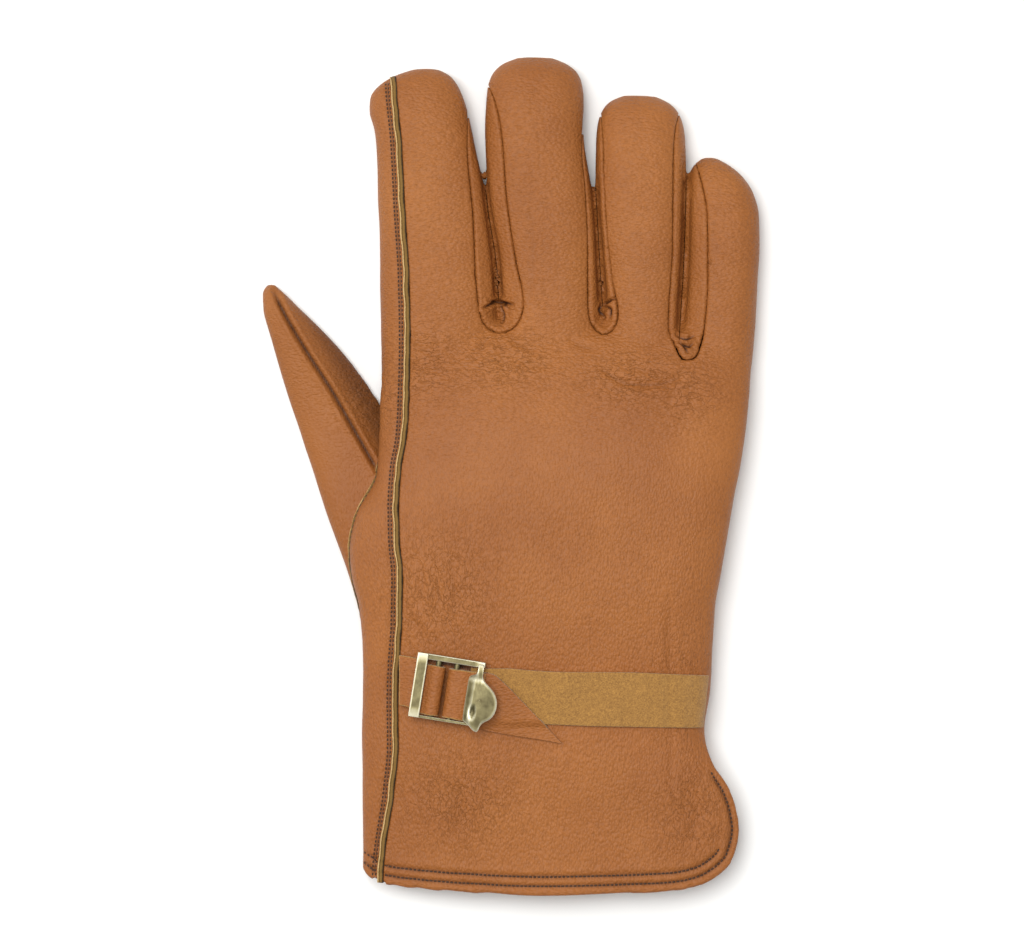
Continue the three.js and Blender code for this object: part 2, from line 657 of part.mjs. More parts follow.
// Colours and finishes
const finish = (color, roughness, metalness = 0) => new THREE.MeshStandardMaterial({
  color, roughness, metalness,
});
const tan = () => finish('#b5733f', 0.6);
const rawEdge = () => finish('#b08a3a', 0.85);
const suede = () => finish('#b98a3e', 0.9);
const brass = () => finish('#a79b6e', 0.4, 0.9);

function meshOf(name, solid, material) {
  const { vertProperties, triVerts, numProp } = mainBody(solid).getMesh();
  const positions = [];
  for (let i = 0; i < vertProperties.length; i += numProp) {
    positions.push(...vertProperties.subarray(i, i + 3));
  }
  const geometry = new THREE.BufferGeometry();
  geometry.setAttribute('position', new THREE.Float32BufferAttribute(positions, 3));
  geometry.setIndex([...triVerts]);
  geometry.computeVertexNormals();
  const mesh = new THREE.Mesh(geometry, material);
  mesh.name = name;
  return mesh;
}

const glove = new THREE.Group();
const shape = new THREE.Group();
glove.add(shape);
shape.add(
  meshOf('back_shell', backShell, tan()),
  meshOf('palm_shell', palmShell, tan()),
  meshOf('middle_finger_front', middleFront, tan()),
  meshOf('ring_finger_front', ringFront, tan()),
  meshOf('side_wall_index_middle', sideWalls.index_middle, tan()),
  meshOf('side_wall_middle_ring', sideWalls.middle_ring, tan()),
  meshOf('side_wall_ring_little', sideWalls.ring_little, tan()),
  meshOf('thumb', thumbShell, tan()),
  meshOf('thumb_gusset', gusset, tan()),
  meshOf('outseam_raw_edge', outseamEdge, rawEdge()),
  meshOf('thumb_raw_edge', thumbEdge, rawEdge()),
  meshOf('wrist_strap', wristStrap, suede()),
  meshOf('strap_tab', strapTab, tan()),
);

const buckle = new THREE.Group();
buckle.applyMatrix4(seatMatrix);
buckle.add(
  meshOf('buckle_frame', frameSolid, brass()),
  meshOf('buckle_lever', leverSolid, brass()),
);
shape.add(buckle);

// The origin lies under the middle of the glove, on the surface it rests on.
shape.updateMatrixWorld(true);
const bounds = new THREE.Box3().setFromObject(shape, true);
const middle = bounds.getCenter(new THREE.Vector3());
shape.position.set(-middle.x, -middle.y, -bounds.min.z);

export default glove;
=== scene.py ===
# %% [markdown]
# A driving glove for the right hand, lying palm down, sewn from soft tan leather.
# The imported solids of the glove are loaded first. They fix where everything lies,
# and each piece made below takes the place of one of them.

# %% Load the frame
import json
import math

import bmesh
import bpy
import numpy as np
from mathutils import Matrix, Vector, noise
from mathutils.bvhtree import BVHTree
from mathutils.kdtree import KDTree

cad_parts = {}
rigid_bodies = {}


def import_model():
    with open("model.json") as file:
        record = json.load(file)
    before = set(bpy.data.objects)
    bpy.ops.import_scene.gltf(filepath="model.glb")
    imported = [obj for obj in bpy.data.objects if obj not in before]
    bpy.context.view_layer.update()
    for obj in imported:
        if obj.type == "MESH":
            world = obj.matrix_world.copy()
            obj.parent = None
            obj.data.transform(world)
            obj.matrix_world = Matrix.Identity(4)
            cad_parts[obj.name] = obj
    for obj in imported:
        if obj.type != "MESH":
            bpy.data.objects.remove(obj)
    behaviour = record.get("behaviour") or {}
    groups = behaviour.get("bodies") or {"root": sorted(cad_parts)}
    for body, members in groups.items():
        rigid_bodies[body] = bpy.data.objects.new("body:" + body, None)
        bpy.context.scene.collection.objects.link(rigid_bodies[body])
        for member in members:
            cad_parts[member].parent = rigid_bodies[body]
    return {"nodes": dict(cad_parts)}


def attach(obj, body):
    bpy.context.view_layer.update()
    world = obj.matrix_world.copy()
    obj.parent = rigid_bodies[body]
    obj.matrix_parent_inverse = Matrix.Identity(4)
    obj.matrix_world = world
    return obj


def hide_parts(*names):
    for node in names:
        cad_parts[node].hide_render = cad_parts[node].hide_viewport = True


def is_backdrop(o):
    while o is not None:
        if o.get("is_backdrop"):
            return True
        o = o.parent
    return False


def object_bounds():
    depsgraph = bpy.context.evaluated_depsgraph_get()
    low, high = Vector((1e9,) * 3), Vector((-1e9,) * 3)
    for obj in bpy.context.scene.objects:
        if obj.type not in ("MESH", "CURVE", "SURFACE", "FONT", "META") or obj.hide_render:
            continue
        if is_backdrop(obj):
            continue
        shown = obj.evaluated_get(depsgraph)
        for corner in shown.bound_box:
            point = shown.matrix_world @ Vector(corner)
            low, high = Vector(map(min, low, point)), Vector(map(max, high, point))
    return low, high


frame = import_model()
cad_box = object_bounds()
given = set(bpy.data.objects)
print("nodes:", sorted(frame["nodes"]))

# %% [markdown]
# All measures below are in millimetres, with X across the hand to the little finger,
# Y from the hem of the cuff to the fingertips and Z up out of the back of the hand.
# The tables hold shares of the glove's width and length, as a maker's pattern does,
# so that a size changes in one place. One function brings points into the frame.

# %% Sizes and the way into the frame
MM = 0.001
GLOVE_LENGTH = 245
HAND_WIDTH = 111
PALM_DEPTH = 24
FINGER_DEPTH = 18
THUMB_DEPTH = 14
LEATHER = 0.95
WIDEST_SHARE = 0.523
PHOTO_MIDDLE = 790
PHOTO_WIDTH = 380
PHOTO_HEM = 894
PHOTO_LENGTH = 839
shift_x = cad_box[1].x / MM - WIDEST_SHARE * HAND_WIDTH
shift_y = cad_box[0].y / MM


def plan(shares):
    """Shares of width and length as millimetres."""
    return np.array(shares, float) * [HAND_WIDTH, GLOVE_LENGTH]


def seen(pixels):
    """Places measured on the photograph as millimetres of the plan."""
    x, y = np.array(pixels, float).T
    return plan(np.stack([(x - PHOTO_MIDDLE) / PHOTO_WIDTH, (PHOTO_HEM - y) / PHOTO_LENGTH], 1))


def mesh_piece(name, points, faces):
    """A new object whose mesh is given in millimetres of the glove."""
    mesh = bpy.data.meshes.new(name)
    placed = (np.array(points, float) + [shift_x, shift_y, 0]) * MM
    mesh.from_pydata(placed.tolist(), [], [list(map(int, face)) for face in faces])
    mesh.update()
    piece = bpy.data.objects.new(name, mesh)
    bpy.context.collection.objects.link(piece)
    return piece


def points_of(piece):
    """Vertices of a piece in millimetres of the glove."""
    flat = np.empty(len(piece.data.vertices) * 3, np.float32)
    piece.data.vertices.foreach_get("co", flat)
    return flat.reshape(-1, 3).astype(float) / MM - [shift_x, shift_y, 0]


def put_points(piece, points):
    placed = ((points + [shift_x, shift_y, 0]) * MM).astype(np.float32)
    piece.data.vertices.foreach_set("co", placed.ravel())
    piece.data.update()


def normals_of(piece):
    flat = np.empty(len(piece.data.vertices) * 3, np.float32)
    piece.data.vertex_normals.foreach_get("vector", flat)
    return flat.reshape(-1, 3).astype(float)


def pick(piece):
    """Makes one piece the selected and active one."""
    bpy.ops.object.select_all(action="DESELECT")
    piece.select_set(True)
    bpy.context.view_layer.objects.active = piece


print("shift of the glove in mm:", round(shift_x, 3), round(shift_y, 3))

# %% [markdown]
# The hand is drawn as cross sections, left edge, right edge and height, measured off
# the photograph at many heights. A spline that never overshoots runs through each
# column, so the silhouette is smooth where the solids have corners.

# %% The sections of the hand and the fingers
palm_rows = [
    (-0.030, -0.526, 0.500, 0.68), (0.029, -0.524, 0.500, 0.70), (0.076, -0.524, 0.500, 0.74),
    (0.124, -0.524, 0.474, 0.79), (0.160, -0.524, 0.412, 0.83), (0.195, -0.524, 0.376, 0.85),
    (0.243, -0.524, 0.392, 0.87), (0.291, -0.526, 0.397, 0.93), (0.338, -0.532, 0.405, 0.98),
    (0.380, -0.552, 0.421, 1.00), (0.412, -0.556, 0.432, 1.00), (0.452, -0.537, 0.447, 1.00),
    (0.499, -0.485, 0.466, 0.99), (0.553, -0.478, 0.484, 0.96), (0.601, -0.476, 0.496, 0.90),
    (0.640, -0.470, 0.500, 0.80), (0.664, -0.462, 0.488, 0.70), (0.682, -0.430, 0.460, 0.50),
]
finger_rows = {
    "index": [
        (0.565, -0.470, -0.172, 0.90), (0.636, -0.475, -0.168, 1.00),
        (0.708, -0.476, -0.170, 1.00), (0.768, -0.476, -0.179, 0.97),
        (0.839, -0.482, -0.203, 0.94), (0.887, -0.487, -0.226, 0.91),
        (0.911, -0.493, -0.237, 0.89), (0.934, -0.506, -0.247, 0.85),
        (0.950, -0.504, -0.258, 0.80), (0.964, -0.482, -0.271, 0.73),
        (0.976, -0.440, -0.289, 0.62), (0.985, -0.389, -0.321, 0.45),
    ],
    "middle": [
        (0.565, -0.152, 0.095, 0.90), (0.636, -0.154, 0.103, 1.00),
        (0.708, -0.161, 0.103, 1.00), (0.768, -0.172, 0.095, 0.99),
        (0.839, -0.194, 0.080, 0.97), (0.911, -0.199, 0.060, 0.93),
        (0.944, -0.197, 0.059, 0.88), (0.962, -0.193, 0.056, 0.82),
        (0.977, -0.182, 0.046, 0.74), (0.989, -0.159, 0.021, 0.60),
        (0.998, -0.116, -0.021, 0.42),
    ],
    "ring": [
        (0.565, 0.108, 0.305, 0.90), (0.636, 0.111, 0.315, 0.98), (0.708, 0.111, 0.320, 0.98),
        (0.768, 0.103, 0.328, 0.97), (0.839, 0.090, 0.329, 0.95), (0.895, 0.092, 0.327, 0.90),
        (0.916, 0.096, 0.322, 0.84), (0.931, 0.106, 0.311, 0.76), (0.943, 0.126, 0.290, 0.62),
        (0.952, 0.166, 0.252, 0.44),
    ],
    "little": [
        (0.565, 0.316, 0.480, 0.86), (0.636, 0.320, 0.503, 0.92), (0.708, 0.325, 0.516, 0.92),
        (0.768, 0.333, 0.523, 0.90), (0.809, 0.334, 0.522, 0.86), (0.834, 0.335, 0.508, 0.80),
        (0.854, 0.339, 0.482, 0.71), (0.869, 0.352, 0.445, 0.58), (0.878, 0.376, 0.410, 0.42),
    ],
}
thumb_rows = [
    (-0.777, 0.7265, -0.757, 0.7255, 0.20), (-0.789, 0.716, -0.727, 0.714, 0.42),
    (-0.788, 0.697, -0.688, 0.697, 0.56),
    (-0.758, 0.646, -0.573, 0.642, 0.66), (-0.718, 0.584, -0.484, 0.588, 0.66),
    (-0.655, 0.504, -0.418, 0.527, 0.68), (-0.611, 0.443, -0.366, 0.454, 0.82),
    (-0.566, 0.384, -0.295, 0.397, 0.95), (-0.532, 0.336, -0.232, 0.350, 1.00),
    (-0.497, 0.288, -0.180, 0.310, 0.95), (-0.453, 0.253, -0.178, 0.276, 0.80),
    (-0.382, 0.231, -0.232, 0.248, 0.55),
]
REST_FLAT = 1.3
WEB_LIFT = 9.5
ROOT_LIFT = 4.5


def spline(at, values, new_at):
    """A monotone cubic spline through the values, read at new places."""
    at, values = np.array(at, float), np.array(values, float)
    step = np.diff(at)
    slope = np.diff(values) / step
    tangent = np.zeros_like(values)
    tangent[0], tangent[-1] = slope[0], slope[-1]
    same_way = slope[:-1] * slope[1:] > 0
    mean = 2 * slope[:-1] * slope[1:] / np.where(same_way, slope[:-1] + slope[1:], 1)
    tangent[1:-1] = np.where(same_way, mean, 0)
    i = np.clip(np.searchsorted(at, new_at, "right") - 1, 0, len(step) - 1)
    t = (new_at - at[i]) / step[i]
    h = step[i]
    return ((2 * t**3 - 3 * t**2 + 1) * values[i] + (t**3 - 2 * t**2 + t) * h * tangent[i]
            + (3 * t**2 - 2 * t**3) * values[i + 1] + (t**3 - t**2) * h * tangent[i + 1])


def ease(t):
    t = np.clip(t, 0, 1)
    return t * t * (3 - 2 * t)


def underside_at(x, y):
    """How far the palm lifts off the table over the thumb that lies under it."""
    sx, sy = x / HAND_WIDTH, y / GLOVE_LENGTH
    web = WEB_LIFT * ease(1 - (sx + 0.46) / 0.18) * ease(1 - abs(sy - 0.556) / 0.125)
    root = ease((-0.055 - sx) / 0.09) * ease((sy - 0.165) / 0.075) * ease((0.62 - sy) / 0.12)
    return np.maximum(web, ROOT_LIFT * root)


def section(left, right, high, sides, square, lift_at):
    """One ring of a tube: a squarish oval cut flat where it meets the table."""
    left, right = np.array(left), np.array(right)
    centre, reach = (left + right) / 2, (right - left) / 2
    half_width = np.linalg.norm(reach)
    half_depth = (high + REST_FLAT) / 2
    step = 2 * np.pi * np.arange(sides) / sides
    out = np.stack([np.cos(step), math.sqrt(half_width / half_depth) * np.sin(step)], 1)
    out /= (abs(out) ** square).sum(1, keepdims=True) ** (1 / square)
    flat = centre + out[:, :1] * reach
    rise = (high - REST_FLAT) / 2 + half_depth * out[:, 1]
    low = lift_at(flat[:, 0], flat[:, 1])
    return np.column_stack([flat, np.maximum(rise, low)])


def tube(name, rings):
    """A closed tube through rings of equally many points."""
    sides, count = len(rings[0]), len(rings)
    points = np.vstack(rings + [[rings[0].mean(0)], [rings[-1].mean(0)]])
    faces = []
    for r in range(count - 1):
        for i in range(sides):
            j = (i + 1) % sides
            faces.append((r * sides + i, r * sides + j, (r + 1) * sides + j, (r + 1) * sides + i))
    first, last = count * sides, count * sides + 1
    for i in range(sides):
        j = (i + 1) % sides
        faces.append((first, j, i))
        faces.append((last, (count - 1) * sides + i, (count - 1) * sides + j))
    piece = mesh_piece(name, points, faces)
    pick(piece)
    bpy.ops.object.mode_set(mode="EDIT")
    bpy.ops.mesh.select_all(action="SELECT")
    bpy.ops.mesh.normals_make_consistent(inside=False)
    bpy.ops.object.mode_set(mode="OBJECT")
    return piece


def straight_rings(rows, depth, count, sides, square):
    """Rings for a tube whose sections lie straight across the hand."""
    table = np.array(rows)
    share = np.linspace(0, 1, count)
    y = table[0, 0] + (table[-1, 0] - table[0, 0]) * (1 - (1 - share) ** 1.3)
    left, right, high = (spline(table[:, 0], table[:, k], y) for k in (1, 2, 3))
    return [
        section(plan([left[i], y[i]]), plan([right[i], y[i]]), high[i] * depth, sides, square,
                underside_at)
        for i in range(count)
    ]


hand_tubes = [tube("palm_tube", straight_rings(palm_rows, PALM_DEPTH, 90, 120, 3))]
for finger, rows in finger_rows.items():
    hand_tubes.append(tube(finger + "_tube", straight_rings(rows, FINGER_DEPTH, 70, 80, 2.5)))

table = np.array(thumb_rows)
places = np.linspace(0, len(thumb_rows) - 1, 90)
columns = [spline(np.arange(len(thumb_rows)), table[:, k], places) for k in range(5)]
thumb_rings = []
for lx, ly, rx, ry, high in zip(*columns):
    thumb_rings.append(section(plan([lx, ly]), plan([rx, ry]), high * THUMB_DEPTH, 80, 2.4,
                               lambda x, y: 0 * x))
thumb_skin = tube("thumb_skin", thumb_rings)
print("tubes:", [piece.name for piece in hand_tubes], "and the thumb")

# %% [markdown]
# The tubes of the palm and the fingers run into each other. Voxel remeshing melts them
# into one closed skin with an even mesh, as if the leather were stretched over a hand,
# and a few rounds of smoothing take the steps out. Thin blades then part the fingers
# again where they lie against each other.

# %% One skin for the hand, one for the thumb
SKIN_VOXEL = 0.72
THUMB_VOXEL = 0.52


def remeshed(piece, voxel, rounds):
    pick(piece)
    piece.data.remesh_voxel_size = voxel * MM
    piece.data.remesh_voxel_adaptivity = 0
    bpy.ops.object.voxel_remesh()
    smooth = piece.modifiers.new("smooth", "SMOOTH")
    smooth.factor = 0.5
    smooth.iterations = rounds
    bpy.ops.object.modifier_apply(modifier=smooth.name)
    points = points_of(piece)
    points[:, 2] = np.maximum(points[:, 2], 0)
    put_points(piece, points)


pick(hand_tubes[0])
for piece in hand_tubes[1:]:
    piece.select_set(True)
bpy.ops.object.join()
hand_skin = hand_tubes[0]
hand_skin.name = "hand_skin"
remeshed(hand_skin, SKIN_VOXEL, 14)
remeshed(thumb_skin, THUMB_VOXEL, 14)
print("faces of the skin:", len(hand_skin.data.polygons), len(thumb_skin.data.polygons))

# %% [markdown]
# Worn leather isn't smooth. It swells softly, gathers where fingers bend, and keeps a
# few sharp creases. Each crease is drawn as a line on the photograph, and the skin is
# pressed in along it, with a small lip raised on both sides. The depth is also kept as
# an attribute, so that the finish can paint shade into the bottom of a crease.

# %% Soft dents, gathers and creases
# Each crease: its line in photo pixels, its depth and its half width in mm
back_creases = [
    ([(727, 302), (721, 305), (714, 309)], 1.0, 0.5),
    ([(727, 302), (734, 304), (741, 306)], 1.0, 0.5),
    ([(729, 304), (731, 311), (732, 318), (731, 323)], 0.9, 0.45),
    ([(718, 302), (727, 302), (737, 309)], 0.7, 0.5),
    ([(831, 305), (836, 303), (841, 300)], 0.9, 0.45),
    ([(831, 305), (829, 311), (833, 318)], 0.9, 0.45),
    ([(833, 307), (839, 311), (838, 319)], 0.6, 0.45),
    ([(906, 336), (914, 340), (922, 337)], 0.9, 0.5),
    ([(909, 343), (913, 349), (916, 354)], 0.7, 0.45),
    ([(909, 344), (917, 348), (921, 345)], 0.8, 0.45),
    ([(829, 366), (841, 378), (858, 385), (882, 386), (908, 378)], 0.75, 1.3),
    ([(826, 378), (838, 390), (855, 395)], 0.35, 1.2),
    ([(862, 372), (880, 374), (897, 370)], 0.3, 1.2),
    ([(735, 334), (748, 345), (762, 352)], 0.35, 1.1),
    ([(722, 334), (712, 345), (706, 358)], 0.35, 1.1),
    ([(730, 340), (731, 356), (735, 372)], 0.3, 1.1),
    ([(742, 358), (760, 366), (782, 368)], 0.3, 1.2),
    ([(800, 340), (812, 348), (826, 350)], 0.3, 1.0),
    ([(640, 345), (655, 352), (668, 362)], 0.35, 1.2),
    ([(644, 365), (662, 368), (676, 378)], 0.3, 1.2),
    ([(640, 395), (652, 388), (664, 386)], 0.3, 1.1),
    ([(897, 600), (898, 650), (897, 700), (899, 750), (900, 790)], 0.3, 1.3),
    ([(648, 560), (652, 582), (650, 606)], 0.4, 1.2),
    ([(664, 570), (668, 596), (664, 620)], 0.4, 1.2),
    ([(684, 560), (682, 584), (688, 606)], 0.35, 1.2),
    ([(640, 618), (650, 632), (656, 648)], 0.35, 1.2),
    ([(688, 790), (690, 812), (684, 832)], 0.4, 1.6),
    ([(918, 790), (925, 815), (921, 840)], 0.45, 1.8),
    ([(906, 380), (900, 400), (890, 414)], 0.3, 1.3),
    ([(760, 205), (762, 260), (756, 310)], 0.2, 1.0),
]
front_creases = [
    ([(640, 470), (700, 452), (770, 470)], 0.5, 2.0),
    ([(650, 420), (720, 405), (800, 420)], 0.45, 2.0),
    ([(760, 500), (800, 560), (810, 640)], 0.5, 2.4),
    ([(850, 480), (880, 540), (885, 620)], 0.35, 2.0),
    ([(640, 240), (670, 236), (700, 242)], 0.35, 1.4),
    ([(755, 235), (790, 230), (825, 236)], 0.35, 1.4),
    ([(840, 250), (870, 246), (900, 252)], 0.35, 1.4),
    ([(700, 760), (760, 752), (820, 764)], 0.35, 2.0),
    ([(720, 600), (745, 606), (760, 618)], 0.4, 1.2),
    ([(722, 640), (745, 642), (762, 650)], 0.4, 1.2),
    ([(716, 668), (735, 676), (748, 690)], 0.4, 1.2),
    ([(700, 566), (716, 556), (726, 545)], 0.4, 1.2),
]
thumb_creases = [
    ([(503, 292), (513, 314), (535, 352), (560, 391), (583, 431), (606, 471)], 1.7, 0.8),
]
# Where two fingers lie against each other
finger_partings = [
    [(712.5, 166), (714.5, 190), (717, 212), (725, 264), (727.5, 302)],
    [(824, 180), (825.5, 205), (828.5, 260), (831.5, 307)],
    [(916, 158), (915, 200), (912.5, 270), (908.5, 330), (907.5, 341)],
]
# Places that gather: the middle in photo pixels, the reach and the way in degrees
gathers = [
    ((735, 360), (52, 34), 60), ((860, 380), (52, 30), 10), ((655, 365), (36, 40), 40),
    ((665, 595), (60, 60), 80), ((690, 800), (60, 50), 100), ((920, 810), (40, 50), 95),
    ((915, 395), (34, 40), 120), ((905, 690), (30, 60), 90), ((600, 400), (40, 60), 55),
]


def distance_to_line(points, line, reach):
    """Shortest plan distance of each point to a drawn line, as far as reach."""
    best = np.full(len(points), 1e9)
    for a, b in zip(line[:-1], line[1:]):
        low, high = np.minimum(a, b) - reach, np.maximum(a, b) + reach
        near = np.where(((points > low) & (points < high)).all(1))[0]
        along = b - a
        t = np.clip(((points[near] - a) @ along) / (along @ along), 0, 1)
        away = np.linalg.norm(points[near] - a - t[:, None] * along, axis=1)
        best[near] = np.minimum(best[near], away)
    return best


def smooth_line(line, count=40):
    line = np.array(line, float)
    run = np.concatenate([[0], np.cumsum(np.linalg.norm(np.diff(line, axis=0), axis=1))])
    at = np.linspace(0, run[-1], count)
    return np.stack([spline(run, line[:, k], at) for k in (0, 1)], 1)


def rough(points, size, seed):
    """Smooth noise from -1 to 1 at a size in mm."""
    return np.array([noise.noise(Vector(p / size + seed)) for p in points])


def worn(piece, creases_up, creases_down, seed):
    points, normals = points_of(piece), normals_of(piece)
    push = 0.45 * rough(points, 26.0, seed) + 0.16 * rough(points, 9.0, seed + 7)
    painted_crease_shade = np.zeros(len(points))
    gather = np.full(len(points), 0.12)
    for centre, reach, way in gathers:
        middle = seen([centre])[0]
        size = np.array(reach) * HAND_WIDTH / PHOTO_WIDTH
        near = np.exp(-(((points[:, :2] - middle) / size) ** 2).sum(1))
        gather = np.maximum(gather, near)
        turn = math.radians(way)
        c, s = math.cos(turn), math.sin(turn)
        run = points[:, 0] * c + points[:, 1] * s
        side = points[:, 1] * c - points[:, 0] * s
        close = np.where(near > 0.08)[0]
        fold = np.zeros(len(points))
        turned = np.stack([run[close] / 4.5, side[close], points[close, 2] / 6], 1)
        fold[close] = rough(turned, 2.3, seed + way)
        push += 0.28 * near * fold
        # Painted shade on the low side of each fold of a gather
        painted_crease_shade = np.maximum(painted_crease_shade, 0.1 * near * np.clip(-fold - 0.1, 0, 1))
    for creases, facing in ((creases_up, normals[:, 2]), (creases_down, -normals[:, 2])):
        for drawn, depth, half, shade in creases:
            low, high = drawn.min(0) - 4 * half, drawn.max(0) + 4 * half
            inside = ((points[:, :2] > low) & (points[:, :2] < high)).all(1) & (facing > 0.3)
            some = np.where(inside)[0]
            if not len(some):
                continue
            away = distance_to_line(points[some, :2], drawn, 4 * half)
            ends = np.minimum(np.linalg.norm(points[some, :2] - drawn[0], axis=1),
                              np.linalg.norm(points[some, :2] - drawn[-1], axis=1))
            length = np.linalg.norm(np.diff(drawn, axis=0), axis=1).sum()
            fade = 0.4 + 0.6 * ease(ends / min(4 * half, 0.35 * length))
            press = np.exp(-((away / half) ** 2)) * fade
            lip = np.exp(-(((away - 1.9 * half) / half) ** 2)) * fade
            push[some] += depth * (0.3 * lip - press)
            # Painted shade along the bottom of each crease, channel and valley
            sharp = np.exp(-((away / (0.5 if half > 0.6 else 0.3)) ** 2)) * fade
            painted_crease_shade[some] = np.maximum(painted_crease_shade[some], sharp * shade)
    points += normals * push[:, None]
    points[:, 2] = np.maximum(points[:, 2], 0)
    put_points(piece, points)
    # Wrinkles run across the fingers and along the wrist
    lie = ease((0.62 - points[:, 1] / GLOVE_LENGTH) / 0.2)
    # The painted shade is kept as the attribute crease, for the finish
    for name, values in (("crease", painted_crease_shade), ("gather", gather), ("lie", lie)):
        layer = piece.data.attributes.new(name, "FLOAT", "POINT")
        layer.data.foreach_set("value", values.astype(np.float32))


# The webs between the fingers, where the creases are finest: place and reach in mm
webs = [((730, 312), 11.5), ((834, 313), 10.0), ((913, 346), 10.5)]


def refined(piece, places):
    """Cuts the faces round some places three times as fine."""
    made = bmesh.new()
    made.from_mesh(piece.data)
    near = set()
    for pixel, reach in places:
        x, y = seen([pixel])[0] + [shift_x, shift_y]
        for face in made.faces:
            middle = face.calc_center_median()
            if math.hypot(middle.x / MM - x, middle.y / MM - y) < reach and middle.z > 5 * MM:
                near.update(face.edges)
    bmesh.ops.subdivide_edges(made, edges=list(near), cuts=2, use_grid_fill=True)
    made.to_mesh(piece.data)
    made.free()


def drawn_on(creases):
    """Creases drawn on the photograph: their lines in mm, depth, half width and shade."""
    return [(smooth_line(seen(line)), depth, half, min(1, 0.75 * depth / half**2))
            for line, depth, half in creases]


print("creases drawn:", len(back_creases) + len(front_creases) + len(thumb_creases))

# %% [markdown]
# Next the skin is shared out among the pieces of leather that the glove is sewn from.
# Upright blocks drawn along the seams cut it, and only the skin's own faces are kept,
# so each piece is an open sheet that ends a little short of its seam.

# %% The seams in the plan
side_wall_seams = {
    "index_middle": [
        (-0.232, 0.975), (-0.245, 0.938), (-0.245, 0.900), (-0.229, 0.803), (-0.224, 0.751),
        (-0.216, 0.702),
        (-0.204, 0.681), (-0.179, 0.671), (-0.158, 0.669), (-0.130, 0.673), (-0.110, 0.684),
        (-0.100, 0.702), (-0.121, 0.751), (-0.145, 0.825), (-0.158, 0.900), (-0.178, 0.945),
        (-0.204, 0.975),
    ],
    "middle_ring": [
        (0.072, 0.960), (0.060, 0.925), (0.056, 0.887), (0.065, 0.839), (0.073, 0.751),
        (0.073, 0.702),
        (0.080, 0.681), (0.095, 0.671), (0.111, 0.667), (0.128, 0.670), (0.143, 0.680),
        (0.147, 0.690), (0.129, 0.732), (0.113, 0.821), (0.105, 0.920), (0.096, 0.960),
    ],
    "ring_little": [
        (0.326, 0.950), (0.304, 0.915), (0.298, 0.881), (0.295, 0.769), (0.284, 0.676),
        (0.300, 0.650),
        (0.321, 0.636), (0.347, 0.637), (0.371, 0.663), (0.384, 0.739), (0.382, 0.807),
        (0.360, 0.862), (0.332, 0.900),
    ],
}
outseam = [
    (-0.477, 0.013), (-0.476, 0.029), (-0.447, 0.124), (-0.436, 0.179), (-0.437, 0.234),
    (-0.434, 0.271), (-0.426, 0.322), (-0.424, 0.378), (-0.432, 0.421), (-0.434, 0.462),
    (-0.429, 0.504), (-0.413, 0.547), (-0.408, 0.589), (-0.405, 0.659), (-0.408, 0.735),
    (-0.418, 0.807), (-0.429, 0.899), (-0.441, 0.952), (-0.444, 0.974),
]
cuff_outline = [
    (-0.570, 0.034), (-0.530, 0.028), (-0.508, 0.0205), (-0.468, 0.013), (-0.380, 0.008),
    (-0.266, 0.004), (-0.053, 0.000), (0.158, 0.002), (0.297, 0.005), (0.368, 0.012),
    (0.421, 0.026), (0.453, 0.043), (0.470, 0.076), (0.463, 0.100), (0.445, 0.124),
    (0.413, 0.148), (0.397, 0.164), (0.388, 0.180), (0.386, 0.196), (0.390, 0.212),
]
gusset_outline = [
    (-0.392, 0.500), (-0.342, 0.494), (-0.295, 0.470), (-0.224, 0.434), (-0.176, 0.396),
    (-0.155, 0.354), (-0.150, 0.317), (-0.172, 0.306), (-0.250, 0.360), (-0.340, 0.440),
]
FRONT_TOP = 0.34 * FINGER_DEPTH
FAR = 400
LOW, HIGH = -6, 60
# A sheet ends this far from its seam and its edge is then rolled in by as much
ROLL = 0.9
HALF_ROLL = 0.5
TIGHT_ROLL = 0.35
SEAM_GAP = 0.06


def block(outline, bottom, top):
    """An upright block of space, marked so that the faces it cuts can be told."""
    outline = np.array(outline)
    count = len(outline)
    after = np.roll(outline, -1, 0)
    if (outline[:, 0] * after[:, 1] - outline[:, 1] * after[:, 0]).sum() < 0:
        outline = outline[::-1]
    low = np.column_stack([outline, np.full(count, bottom)])
    high = np.column_stack([outline, np.full(count, top)])
    faces = [tuple(range(count))[::-1], tuple(range(count, 2 * count))]
    faces += [(i, (i + 1) % count, count + (i + 1) % count, count + i) for i in range(count)]
    piece = mesh_piece("room", np.vstack([low, high]), faces)
    piece.data.materials.append(None)
    piece.data.materials.append(None)
    piece.data.polygons.foreach_set("material_index", [1] * len(faces))
    return piece


def grown(outline, distance):
    """A closed outline moved outwards by one distance or one for each of its corners."""
    outline = np.array(outline)
    into = outline - np.roll(outline, 1, 0)
    into /= np.linalg.norm(into, axis=1, keepdims=True)
    out = np.roll(into, -1, 0)
    after = np.roll(outline, -1, 0)
    area = (outline[:, 0] * after[:, 1] - outline[:, 1] * after[:, 0]).sum()
    share = math.copysign(1, area) * np.array(distance) / (1 + (into * out).sum(1))
    return outline + np.column_stack([(into + out)[:, 1], -(into + out)[:, 0]]) * share[:, None]


def carve(piece, other, how, keep_other=False):
    """Joins, cuts or keeps what two closed pieces share, on the first one."""
    cutter = piece.modifiers.new("carve", "BOOLEAN")
    cutter.operation = how
    cutter.solver = "MANIFOLD"
    cutter.object = other
    pick(piece)
    bpy.ops.object.modifier_apply(modifier=cutter.name)
    if not keep_other:
        bpy.data.objects.remove(other)
    return piece


def copied(piece, name):
    twin = piece.copy()
    twin.data = piece.data.copy()
    twin.name = name
    bpy.context.collection.objects.link(twin)
    return twin


big_plan = [(-FAR, -FAR), (FAR, -FAR), (FAR, FAR), (-FAR, FAR)]
LEFT_COLUMN, RIGHT_COLUMN = 1, 2


